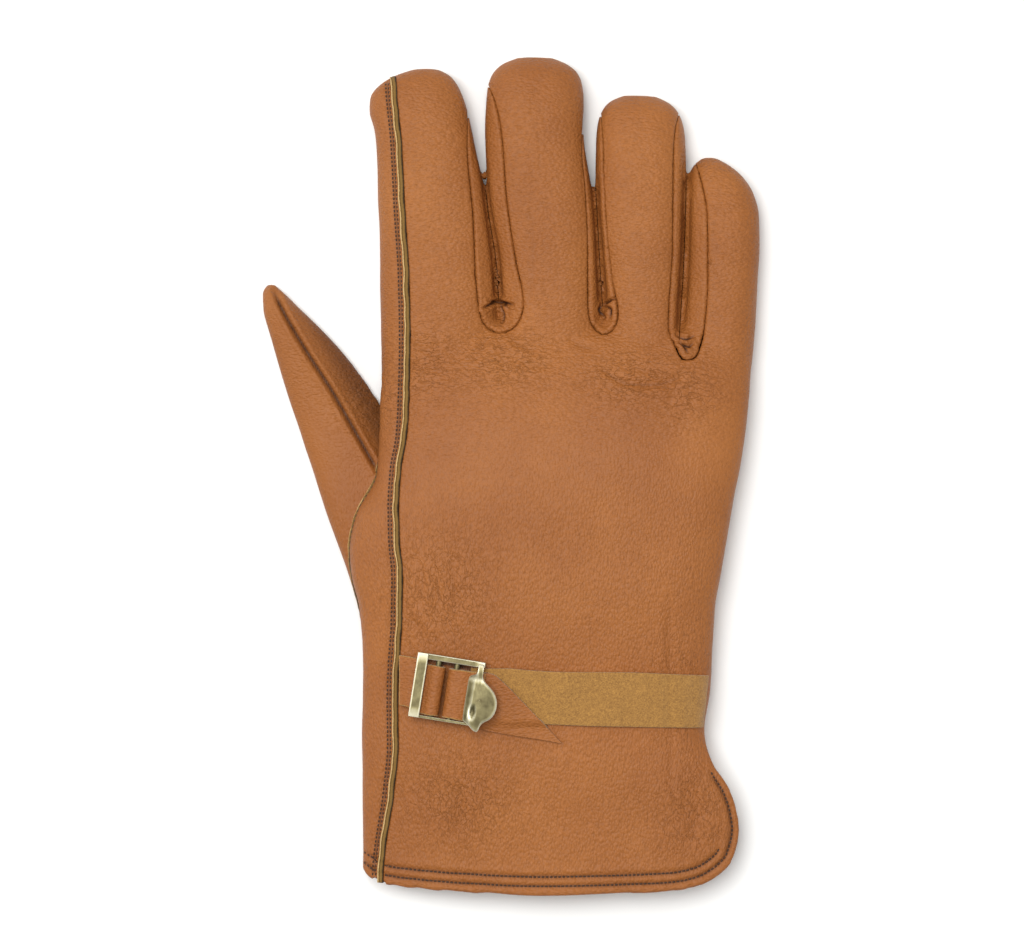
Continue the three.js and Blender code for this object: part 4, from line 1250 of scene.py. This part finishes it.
def sweep(name, places, sideways, upward, section_points, seed):
    """A closed band with one section, swept along a run of places."""
    rings = []
    for i, (place, side, up) in enumerate(zip(places, sideways, upward)):
        wander = noise.noise(Vector((i * 0.15, seed, 0))) * 0.34
        ring = []
        for k, (s, h) in enumerate(section_points):
            swell = noise.noise(Vector((i * 0.31, k * 0.8, seed)))
            lift = h + (0.16 * swell if h > 0 else 0)
            ring.append(np.array(place) + np.array(side) * (s + wander) + np.array(up) * lift)
        rings.append(np.array(ring))
    band = tube(name, rings)
    count, sides = len(rings), len(section_points)
    width = [s for s, _ in section_points]
    share = [(s - min(width)) / (max(width) - min(width)) for s in width]
    values = share * count + [0.5, 0.5]
    layer = band.data.attributes.new("side", "FLOAT", "POINT")
    layer.data.foreach_set("value", np.array(values, np.float32))
    pick(band)
    bpy.ops.object.shade_smooth()
    return band


def steps_along(line, pitch):
    """Points of a plan line at an even pitch, with the way the line runs there."""
    run = np.concatenate([[0], np.cumsum(np.linalg.norm(np.diff(line, axis=0), axis=1))])
    at = np.linspace(0, run[-1], max(2, int(run[-1] / pitch) + 1))
    spots = np.stack([np.interp(at, run, line[:, k]) for k in (0, 1)], 1)
    way = np.gradient(spots, axis=0)
    return spots, way / np.linalg.norm(way, axis=1, keepdims=True)


fine_seam = smooth_line(plan(outseam), 200)
spots, ways = steps_along(fine_seam, 0.8)
places, sides_of, ups = [], [], []
for spot, way in zip(spots, ways):
    place, normal = touch(*spot)
    normal = (normal + Vector((0, 0, 1.5))).normalized()
    side = Vector((way[1], -way[0], 0))
    places.append(place)
    sides_of.append(side - normal * side.dot(normal))
    ups.append(normal)
outseam_strip = sweep("outseam_raw_edge_strip", places, sides_of, ups, strip_section, 2.0)
outseam_strip.data.materials.append(raw_edge)
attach(outseam_strip, "root")
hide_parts("outseam_raw_edge")

# %% [markdown]
# The thumb is sewn in the same way. Its raw edge follows the open rim of the thumb's
# own leather, so the rim is walked round point by point, evened out, and used as the
# path of a second strip.

# %% The raw edge round the thumb
rim_next = {}
for e in (e for e in thumb_rim.edges if e.is_boundary):
    for vert in e.verts:
        rim_next.setdefault(vert.index, []).append(e.other_vert(vert).index)
loops, seen_verts = [], set()
for first in rim_next:
    if first in seen_verts:
        continue
    loop, last, here = [first], None, first
    while True:
        ahead = [v for v in rim_next[here] if v != last and v not in loop[1:]]
        if not ahead or ahead[0] == first:
            break
        last, here = here, ahead[0]
        loop.append(here)
    seen_verts.update(loop)
    loops.append(loop)
longest = max(loops, key=len)
rim_points = np.array([thumb_rim.verts[v].co for v in longest]) / MM - [shift_x, shift_y, 0]
rim_normals = np.array([thumb_rim.verts[v].normal for v in longest])
thumb_rim.free()


def evened(points, pitch, rounds):
    """A closed run of points at an even pitch, smoothed a few times."""
    closed = np.vstack([points, points[:1]])
    run = np.concatenate([[0], np.cumsum(np.linalg.norm(np.diff(closed, axis=0), axis=1))])
    at = np.linspace(0, run[-1], int(run[-1] / pitch), endpoint=False)
    made = np.stack([np.interp(at, run, closed[:, k]) for k in range(3)], 1)
    for _ in range(rounds):
        made = (made + np.roll(made, 1, 0) + np.roll(made, -1, 0)) / 3
    return made


rim_path = evened(rim_points, 0.8, 6)
rim_tree = KDTree(len(rim_points))
for i, point in enumerate(rim_points):
    rim_tree.insert(point, i)
rim_tree.balance()
rim_out, rim_side = [], []
rim_way = np.roll(rim_path, -1, 0) - np.roll(rim_path, 1, 0)
for point, way in zip(rim_path, rim_way):
    thumb_normal = Vector(rim_normals[rim_tree.find(point)[1]])
    _, hand_normal, _, _ = skin_tree.find_nearest(Vector(point))
    out = (thumb_normal + hand_normal).normalized()
    way = Vector(way).normalized()
    side = way.cross(out).normalized()
    rim_out.append(side.cross(way).normalized())
    rim_side.append(side)
edge_section = [(s * 0.9, h * 0.9 + 0.1) for s, h in strip_section]
wrap = [*range(len(rim_path)), 0]
thumb_strip = sweep("thumb_raw_edge_strip", rim_path[wrap], [rim_side[i] for i in wrap],
                    [rim_out[i] for i in wrap], edge_section, 5.0)
low_points = points_of(thumb_strip)
low_points[:, 2] = np.maximum(low_points[:, 2], 0.02)
put_points(thumb_strip, low_points)
thumb_strip.data.materials.append(raw_edge)
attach(thumb_strip, "root")
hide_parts("thumb_raw_edge")
print("rim of the thumb in mm:", round(len(rim_path) * 0.8))

# %% [markdown]
# Stitches are short capsules of thread, one for each stitch, half sunk in the leather.
# Hundreds are needed, so the capsule has few faces. It is made once and its points are
# copied by arithmetic to every step of a seam.

# %% Stitches
def capsule(length, radius):
    bpy.ops.mesh.primitive_cylinder_add(vertices=6, radius=radius * MM, depth=length * 0.6 * MM,
                                        rotation=(0, math.pi / 2, 0))
    one = bpy.context.object
    bpy.ops.object.transform_apply(location=False, rotation=True, scale=False)
    bpy.ops.object.mode_set(mode="EDIT")
    bpy.ops.mesh.select_mode(type="FACE")
    bpy.ops.mesh.select_all(action="DESELECT")
    bpy.ops.object.mode_set(mode="OBJECT")
    for face in one.data.polygons:
        face.select = abs(face.normal.x) > 0.9
    bpy.ops.object.mode_set(mode="EDIT")
    bpy.ops.mesh.poke(offset=length * 0.2 * MM)
    bpy.ops.object.mode_set(mode="OBJECT")
    corners = np.array([v.co for v in one.data.vertices]) / MM
    faces = [list(p.vertices) for p in one.data.polygons]
    bpy.data.objects.remove(one)
    return corners, faces


def sew(name, rows, length=1.05, radius=0.2, sink=0.02):
    """One piece of thread from rows of (place, way, normal)."""
    corners, faces = capsule(length, radius)
    points, polygons = [], []
    for place, way, normal in rows:
        way = (way - normal * way.dot(normal)).normalized()
        side = normal.cross(way)
        start = len(points)
        base = place + normal * (radius * 0.5 - sink)
        for x, y, z in corners:
            dip = 0.9 * radius * (2 * x / length) ** 2
            points.append(base + way * x + side * y + normal * (z - dip))
        polygons += [[start + v for v in face] for face in faces]
    piece = mesh_piece(name, points, polygons)
    piece.data.materials.append(brown_thread)
    pick(piece)
    bpy.ops.object.shade_smooth()
    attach(piece, "root")
    return piece


def row_on(line, pitch, tree=skin_tree, above=True):
    spots, ways = steps_along(np.array(line), pitch)
    found = []
    for (x, y), way in zip(spots, ways):
        place, normal = touch(x, y, tree, above)
        if (normal.z if above else -normal.z) > 0.25:
            found.append((place, Vector((way[0], way[1], 0)), normal))
    return found


outseam_rows = []
for reach in OUTSEAM_ROWS:
    outseam_rows += row_on(fine_seam[2:-2] + [reach, 0], 1.2)
sew("outseam_stitches", outseam_rows, length=0.95, radius=0.22)
hem_rows = []
for line in hem_lines:
    hem_rows += row_on(line, HEM_PITCH) + row_on(line, HEM_PITCH, above=False)
sew("hem_stitches", hem_rows, length=1.0, radius=0.26)
palm_rows_sewn = []
for line in palm_lines:
    palm_rows_sewn += row_on(line, HEM_PITCH, above=False)
sew("palm_stitches", palm_rows_sewn, length=1.0, radius=0.26)
thumb_row = []
for point, way, side in zip(rim_path[::2], rim_way[::2], rim_side[::2]):
    for reach in (1.4, -1.4):
        place, normal, _, _ = skin_tree.find_nearest(Vector(point) + side * reach)
        if abs((place - Vector(point)).length - abs(reach)) < 0.7:
            thumb_row.append((place, Vector(way), normal))
sew("thumb_seam_stitches", thumb_row, length=1.0, radius=0.22)
print("stitches:", len(outseam_rows), len(hem_rows), len(thumb_row))

# %% [markdown]
# The buckle has a seat of its own: a plane turned by 9 degrees and tilted with the back
# of the hand under it. Its parts are modelled flat at the origin, in millimetres along
# the strap, across it and up, and are then carried onto the seat.

# %% The seat of the buckle
STRAP_WIDTH = 15
STRAP_THICK = 1.2
buckle_x, buckle_y = plan([-0.282, 0.2443])
BUCKLE_HALF = 11
turn = math.radians(-9)


def seat_height(u, v):
    x = buckle_x + u * math.cos(turn) - v * math.sin(turn)
    y = buckle_y + u * math.sin(turn) + v * math.cos(turn)
    return touch(x, y)[0].z


tilt = math.atan2(seat_height(BUCKLE_HALF, 0) - seat_height(-BUCKLE_HALF, 0), 2 * BUCKLE_HALF)
bulge = max(seat_height(s * BUCKLE_HALF, t * STRAP_WIDTH / 2) - s * BUCKLE_HALF * math.tan(tilt)
            for s in (-1, -0.5, 0, 0.5, 1) for t in (-1, 0, 1))
seat = (Matrix.Translation(((buckle_x + shift_x) * MM, (buckle_y + shift_y) * MM,
                            (bulge + 0.25) * MM))
        @ Matrix.Rotation(turn, 4, "Z") @ Matrix.Rotation(-tilt, 4, "Y") @ Matrix.Scale(MM, 4))


def seated(piece):
    """Carries a piece modelled in seat millimetres onto the glove."""
    piece.data.transform(seat)
    piece.data.update()
    return piece


def flat_piece(name, points, faces):
    mesh = bpy.data.meshes.new(name)
    mesh.from_pydata([tuple(p) for p in points], [], faces)
    piece = bpy.data.objects.new(name, mesh)
    bpy.context.collection.objects.link(piece)
    return piece


print("tilt of the seat in degrees:", round(math.degrees(tilt), 2))

# %% [markdown]
# The strap is a strip of the same leather, laid with its suede side up. It runs from
# the little-finger seam, under the buckle, round a rod and back over itself, where its
# pointed tip shows the grain. The tab on the other side holds the first rod. All are
# thin sheets bent along a profile, then given their thickness and softened edges.

# %% Strap, tip and tab
def grid_faces(rows, columns):
    return [(r * columns + c, r * columns + c + 1, (r + 1) * columns + c + 1,
             (r + 1) * columns + c) for r in range(rows - 1) for c in range(columns - 1)]


def as_strap(piece, thick, upper_finish, lower_finish):
    """Thickness below the sheet, softened edges and its two finishes."""
    pick(piece)
    bpy.ops.object.mode_set(mode="EDIT")
    bpy.ops.mesh.select_all(action="SELECT")
    bpy.ops.mesh.remove_doubles(threshold=0.01 * MM)
    bpy.ops.object.mode_set(mode="OBJECT")
    piece.data.materials.append(upper_finish)
    piece.data.materials.append(lower_finish)
    wall = piece.modifiers.new("thickness", "SOLIDIFY")
    wall.thickness = thick * MM
    wall.offset = -1
    wall.material_offset = 1
    wall.material_offset_rim = 1
    bpy.ops.object.modifier_apply(modifier=wall.name)
    soft = piece.modifiers.new("soft_edges", "BEVEL")
    soft.width = 0.36 * MM
    soft.segments = 2
    soft.limit_method = "ANGLE"
    soft.angle_limit = math.radians(50)
    soft.material = 0 if upper_finish is flesh_side else 1
    bpy.ops.object.modifier_apply(modifier=soft.name)
    bpy.ops.object.shade_smooth_by_angle(angle=math.radians(40))
    return piece


def laid_strip(name, top_edge, bottom_edge, lift, thick, count, columns, seed):
    """A strip laid on the back of the glove between two edges of the plan."""
    top, bottom = smooth_line(top_edge, count), smooth_line(bottom_edge, count)
    points = []
    for i in range(count):
        for c in range(columns):
            t = c / (columns - 1)
            x, y = top[i] * (1 - t) + bottom[i] * t
            wave = 0.25 * noise.noise(Vector((x / 9, y / 9, seed)))
            rise = lift(x, y) if callable(lift) else lift
            z = touch(x, y)[0].z + rise + thick + wave
            points.append((x, y, z))
    return mesh_piece(name, points, grid_faces(count, columns))


strap_top = seen([(700, 667), (718, 668), (734, 668), (760, 670), (790, 671.5), (854, 672),
                  (900, 674), (930, 675.5), (938, 676)])
strap_bottom = seen([(690, 722), (712, 723), (740, 723.5), (778, 724), (800, 725), (854, 726.5),
                     (900, 727.5), (926, 728), (932.5, 728)])
strap = laid_strip("wrist_strap_suede", strap_top, strap_bottom, 0.25, STRAP_THICK, 110, 16, 1.0)
as_strap(strap, STRAP_THICK, flesh_side, tan_leather)

tip_top = seen([(708, 671), (722, 674), (731, 681), (750, 700), (770, 721), (789, 741.5)])
tip_bottom = seen([(703, 727), (716, 730), (732, 733), (750, 736), (770, 739), (790, 742.5)])
over_strap = 2 * STRAP_THICK + 0.2


def tip_lift(x, y):
    """The tip lies on the strap and sinks to the back of the glove past its edge."""
    edge_y = np.interp(x, strap_bottom[:, 0], strap_bottom[:, 1])
    return 0.3 + (over_strap - STRAP_THICK) * float(ease((y - edge_y + 1.2) / 2.4))


tip = laid_strip("strap_tip", tip_top, tip_bottom, tip_lift, 1.15, 50, 14, 4.0)
as_strap(tip, 1.15, tan_leather, flesh_side)


def bent_sheet(name, profile, low_v, high_v, columns, seed):
    """A sheet bent along a profile of (along, up) and laid across the strap."""
    fine = np.array(profile, float)
    run = np.concatenate([[0], np.cumsum(np.linalg.norm(np.diff(fine, axis=0), axis=1))])
    at = np.linspace(0, run[-1], int(run[-1] / 0.45))
    line = np.stack([np.interp(at, run, fine[:, k]) for k in (0, 1)], 1)
    for _ in range(3):
        line[1:-1] = (line[:-2] + 2 * line[1:-1] + line[2:]) / 4
    points = []
    for i, (u, w) in enumerate(line):
        for c in range(columns):
            t = c / (columns - 1)
            wave = 0.12 * noise.noise(Vector((u / 3, t * 3, seed)))
            v = low_v + (high_v - low_v) * t + 0.25 * noise.noise(Vector((i / 9, seed, t)))
            v += TAB_SHIFT * float(ease((-8 - u) / 5))
            along = u + math.tan(turn) * v * float(ease((-12.5 - u) / 3))
            points.append((along + wave, v, w + wave))
    faces = [face[::-1] for face in grid_faces(len(line), columns)]
    return seated(flat_piece(name, points, faces))


def around(u, w, radius, start, end, steps=14):
    turns = np.radians(np.linspace(start, end, steps))
    return [(u + radius * math.cos(t), w + radius * math.sin(t)) for t in turns]


def rest_on(u):
    """The height over the seat's plane at which a sheet rests on the leather."""
    surface = max(seat_height(u, v) for v in (-8, -4, 0, 4, 8)) - bulge - 0.25
    return surface - u * math.tan(tilt) + STRAP_THICK + 0.2


TAB_SHIFT = 1.3
TAB_END = -16.1
ROD = 0.85
FIRST_ROD, SECOND_ROD, HINGE = -5.3, 0.1, 6.9
LOOP = ROD + 0.25 + STRAP_THICK
ROD_HEIGHT = LOOP
LOOP_LOW, LOOP_HIGH = -8.3, 6.1
tab_profile = ([(TAB_END, rest_on(TAB_END)), (-15.0, rest_on(-15)), (-13.6, 1.6), (-12.0, 1.9),
                (-9.4, 2.2), (-7.9, 3.3)]
               + around(FIRST_ROD, ROD_HEIGHT, LOOP, 150, -90) + [(-8.0, 0.0), (-11.5, -0.1)])
tab = bent_sheet("strap_tab_leather", tab_profile, LOOP_LOW, LOOP_HIGH, 26, 3.0)
as_strap(tab, STRAP_THICK, tan_leather, flesh_side)
loop_profile = ([(8.6, 0.1), (5.0, 0.0)] + around(SECOND_ROD, ROD_HEIGHT, LOOP, 270, 82)
                + [(3.0, 4.35), (4.6, 3.7), (6.6, 3.15), (8.8, 2.75)])
loop_sheet = bent_sheet("strap_loop", loop_profile, LOOP_LOW, LOOP_HIGH, 26, 6.0)
as_strap(loop_sheet, STRAP_THICK, tan_leather, flesh_side)
for piece in (strap, tip, loop_sheet):
    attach(piece, "root")
    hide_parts("wrist_strap")
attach(tab, "root")
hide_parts("strap_tab")
print("strap, tip and tab laid")

# %% [markdown]
# The buckle is stamped from brass sheet. Its frame is an end bar and two rails joined by
# three rods. Bars are cubes and rods are cylinders set at their real places, and a bevel
# rounds their edges, because on worn metal it is the edges that catch the light.

# %% The frame of the buckle
def bar(low_corner, high_corner):
    low_corner, high_corner = np.array(low_corner), np.array(high_corner)
    bpy.ops.mesh.primitive_cube_add(size=1, location=(low_corner + high_corner) / 2,
                                    scale=high_corner - low_corner)
    bpy.ops.object.transform_apply(location=True, rotation=False, scale=True)
    bpy.ops.object.mode_set(mode="EDIT")
    bpy.ops.mesh.subdivide(number_cuts=5)
    bpy.ops.object.mode_set(mode="OBJECT")
    return bpy.context.object


def rod(u, radius, low_v, high_v, height):
    bpy.ops.mesh.primitive_cylinder_add(vertices=32, radius=radius, depth=high_v - low_v,
                                        location=(u, (low_v + high_v) / 2, height),
                                        rotation=(math.pi / 2, 0, 0))
    bpy.ops.object.transform_apply(location=True, rotation=True, scale=False)
    return bpy.context.object


def bevelled(piece, width, segments=3):
    pick(piece)
    soft = piece.modifiers.new("soft_edges", "BEVEL")
    soft.width = width
    soft.segments = segments
    soft.limit_method = "ANGLE"
    bpy.ops.object.modifier_apply(modifier=soft.name)
    bpy.ops.object.shade_smooth_by_angle(angle=math.radians(40))
    return piece


def rubbed(piece, sharp=0.5):
    """Keeps how far each place sticks out at an edge, for the wear of the brass."""
    made = bmesh.new()
    made.from_mesh(piece.data)
    made.normal_update()
    bend = np.array([max((e.calc_face_angle_signed(0) for e in v.link_edges), default=0)
                     for v in made.verts])
    made.free()
    layer = piece.data.attributes.new("wear", "FLOAT", "POINT")
    layer.data.foreach_set("value", np.clip(bend / sharp, 0, 1).astype(np.float32))


RAIL_TOP, RAIL_LOW = 9.3, -9.5
BAR_START, BAR_WIDTH = -11.6, 3.1
bars = [
    bar((BAR_START, RAIL_LOW, 3.3), (BAR_START + BAR_WIDTH, RAIL_TOP, 4.5)),
    bar((BAR_START, RAIL_TOP - 1.7, 1.7), (HINGE + 1.3, RAIL_TOP, 3.7)),
    bar((BAR_START + 0.4, RAIL_LOW, 1.5), (HINGE + 1.0, RAIL_LOW + 0.75, 3.2)),
]
end_bar, top_rail, low_rail = bars
for piece, width in zip(bars, (0.3, 0.3, 0.2)):
    rubbed(bevelled(piece, width))
rods = [rod(u, ROD, RAIL_LOW + 0.3, RAIL_TOP - 0.3, ROD_HEIGHT) for u in (FIRST_ROD, SECOND_ROD)]
rods.append(rod(HINGE, ROD * 0.8, RAIL_LOW + 0.3, RAIL_TOP - 0.3, ROD_HEIGHT))
for piece in rods:
    bevelled(piece, 0.15)
    piece.data.attributes.new("wear", "FLOAT", "POINT")
pick(end_bar)
for piece in bars[1:] + rods:
    piece.select_set(True)
bpy.ops.object.join()
buckle_frame = end_bar
buckle_frame.name = "buckle_frame_brass"
seated(buckle_frame)
buckle_frame.data.materials.append(brass)
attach(buckle_frame, "root")
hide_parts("buckle_frame")

# %% [markdown]
# The lever is a waved plate that clamps the strap. A filled circle is drawn out to the
# plate's outline, measured off the photograph, and extruded. Its top is extruded again
# and shrunk towards one centre many times, which leaves rings of points inside the
# outline without crossing. They are then raised to a crown, turned down at the hinge
# and pressed in for the small thumb dimple.

# %% The lever of the buckle
lever_outline = [
    (4.1, 4.7), (4.7, 5.1), (6.0, 5.5), (6.35, 6.2), (6.4, 8.6), (7.9, 8.6), (7.95, 6.6),
    (8.1, 5.4), (8.65, 4.2), (9.6, 3.3), (10.8, 2.4), (12.0, 1.2), (12.85, -0.2),
    (13.35, -1.7), (13.45, -3.0), (13.25, -4.4), (12.8, -5.6), (12.1, -6.6), (11.3, -7.3),
    (10.3, -7.9), (9.7, -8.7), (9.35, -9.7), (9.1, -10.7), (8.6, -11.0), (7.6, -10.6),
    (6.7, -9.9), (5.9, -9.2), (5.1, -8.7), (4.2, -8.3), (4.0, -5.6), (4.0, -2.0), (4.0, 1.5),
]
outline = smooth_line(lever_outline + lever_outline[:1], 121)[:-1]
for _ in range(2):
    outline = (np.roll(outline, 1, 0) + 2 * outline + np.roll(outline, -1, 0)) / 4
PLATE = 0.9
LEVER_BASE = 2 * LOOP + 0.1
bpy.ops.object.select_all(action="DESELECT")
bpy.ops.mesh.primitive_circle_add(vertices=len(outline), radius=1, fill_type="NGON")
lever = bpy.context.object
lever.name = "buckle_lever_brass"
area = sum(a[0] * b[1] - b[0] * a[1] for a, b in zip(outline, np.roll(outline, -1, 0)))
turned = outline if area > 0 else outline[::-1]
for vert, (u, v) in zip(lever.data.vertices, turned):
    vert.co = (u, v, 0)
bpy.ops.object.mode_set(mode="EDIT")
bpy.ops.mesh.select_mode(type="FACE")
bpy.ops.mesh.select_all(action="SELECT")
shrink_to = (8.3, -2.6, 0)
bpy.ops.mesh.extrude_region_move(TRANSFORM_OT_translate={"value": (0, 0, PLATE * 0.7)})
for shrink, rise in ((0.985, 0.14), (0.97, 0.09), (0.955, 0.04)):
    bpy.ops.mesh.extrude_region_move(TRANSFORM_OT_translate={"value": (0, 0, rise)})
    bpy.ops.transform.resize(value=(shrink, shrink, 1), center_override=shrink_to)
for _ in range(22):
    bpy.ops.mesh.extrude_region_move(TRANSFORM_OT_translate={"value": (0, 0, 0)})
    bpy.ops.transform.resize(value=(0.9, 0.9, 1), center_override=shrink_to)
bpy.ops.object.mode_set(mode="OBJECT")
co = np.array([v.co for v in lever.data.vertices])
inner = co[:, 2] > PLATE * 0.4
u, v, w = co.T
crown = 0.55 * np.exp(-((u - 8.4) / 3.4) ** 2) * np.exp(-((v + 2.5) / 6.5) ** 2)
hinge_turn = -1.1 * ease((6.2 - u) / 2.6) - 0.9 * ease((v - 3.6) / 3.0) - 0.3 * ease((-6 - v) / 4)
dimple = -0.75 * np.exp(-(((u - 6.6) / 0.75) ** 2 + ((v + 5.3) / 1.7) ** 2) ** 1.3)
w = w + crown + hinge_turn + np.where(inner, dimple, 0.6 * dimple) + LEVER_BASE
lever.data.vertices.foreach_set("co", np.column_stack([u, v, w]).astype(np.float32).ravel())
lever.data.update()
pick(lever)
bpy.ops.object.mode_set(mode="EDIT")
bpy.ops.mesh.select_all(action="SELECT")
bpy.ops.mesh.normals_make_consistent(inside=False)
bpy.ops.object.mode_set(mode="OBJECT")
bpy.ops.object.shade_smooth_by_angle(angle=math.radians(45))
rubbed(lever, 0.6)
seated(lever)
lever.data.materials.append(brass)
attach(lever, "root")
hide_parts("buckle_lever")
print("faces of the buckle:", len(buckle_frame.data.polygons) + len(lever.data.polygons))

# %% [markdown]
# The table is a plain pale sheet. Large soft lamps stand round it, the strongest at the
# upper left, and the camera looks straight down from 1.5 m, as in the photograph.

# %% Table, light and camera
pick(back)
bpy.ops.mesh.primitive_plane_add(size=6, location=(0, 0, 0))
floor = bpy.context.object
floor.name = "table"
paper, paper_shader = new_material("matt_white_paper")
paper_shader.inputs["Base Color"].default_value = linear("#f4f4f2")
paper_shader.inputs["Roughness"].default_value = 0.9
floor.data.materials.append(paper)
floor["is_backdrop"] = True


def lamp(name, place, size, watts):
    bpy.ops.object.light_add(type="AREA", location=place)
    light = bpy.context.object
    light.name = name
    light.data.size = size
    light.data.energy = watts
    light.rotation_euler = (-Vector(place)).to_track_quat("-Z", "Y").to_euler()


lamp("overhead_softbox", (-0.3, 0.3, 1.8), 1.1, 35)
lamp("left_light", (-1.2, 0.4, 0.6), 0.5, 4.5)
lamp("right_light", (1.2, -0.2, 0.9), 0.8, 3)
world = bpy.data.worlds.new("studio")
bpy.context.scene.world = world
world.use_nodes = True
world.node_tree.nodes["Background"].inputs["Color"].default_value = (1, 1, 1, 1)
world.node_tree.nodes["Background"].inputs["Strength"].default_value = 0.34
bpy.context.scene.view_settings.view_transform = "Standard"

SENSOR = 36
LENS = 180
FRAME_WIDTH = 1024 * HAND_WIDTH / PHOTO_WIDTH * MM
bpy.ops.object.camera_add(location=(0, 0, FRAME_WIDTH * LENS / SENSOR + 0.012))
camera = bpy.context.object
camera.data.lens = LENS
camera.data.sensor_width = SENSOR
bpy.context.scene.camera = camera
print("camera height in m:", round(camera.location.z, 3))

# %% Rest on the table
for piece in set(bpy.data.objects) - given - {floor}:
    if piece.type == "MESH":
        lying = points_of(piece)
        if lying[:, 2].min() < 0:
            lying[:, 2] = np.maximum(lying[:, 2], 0)
            put_points(piece, lying)

# %% The bounds of the finished glove
low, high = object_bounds()
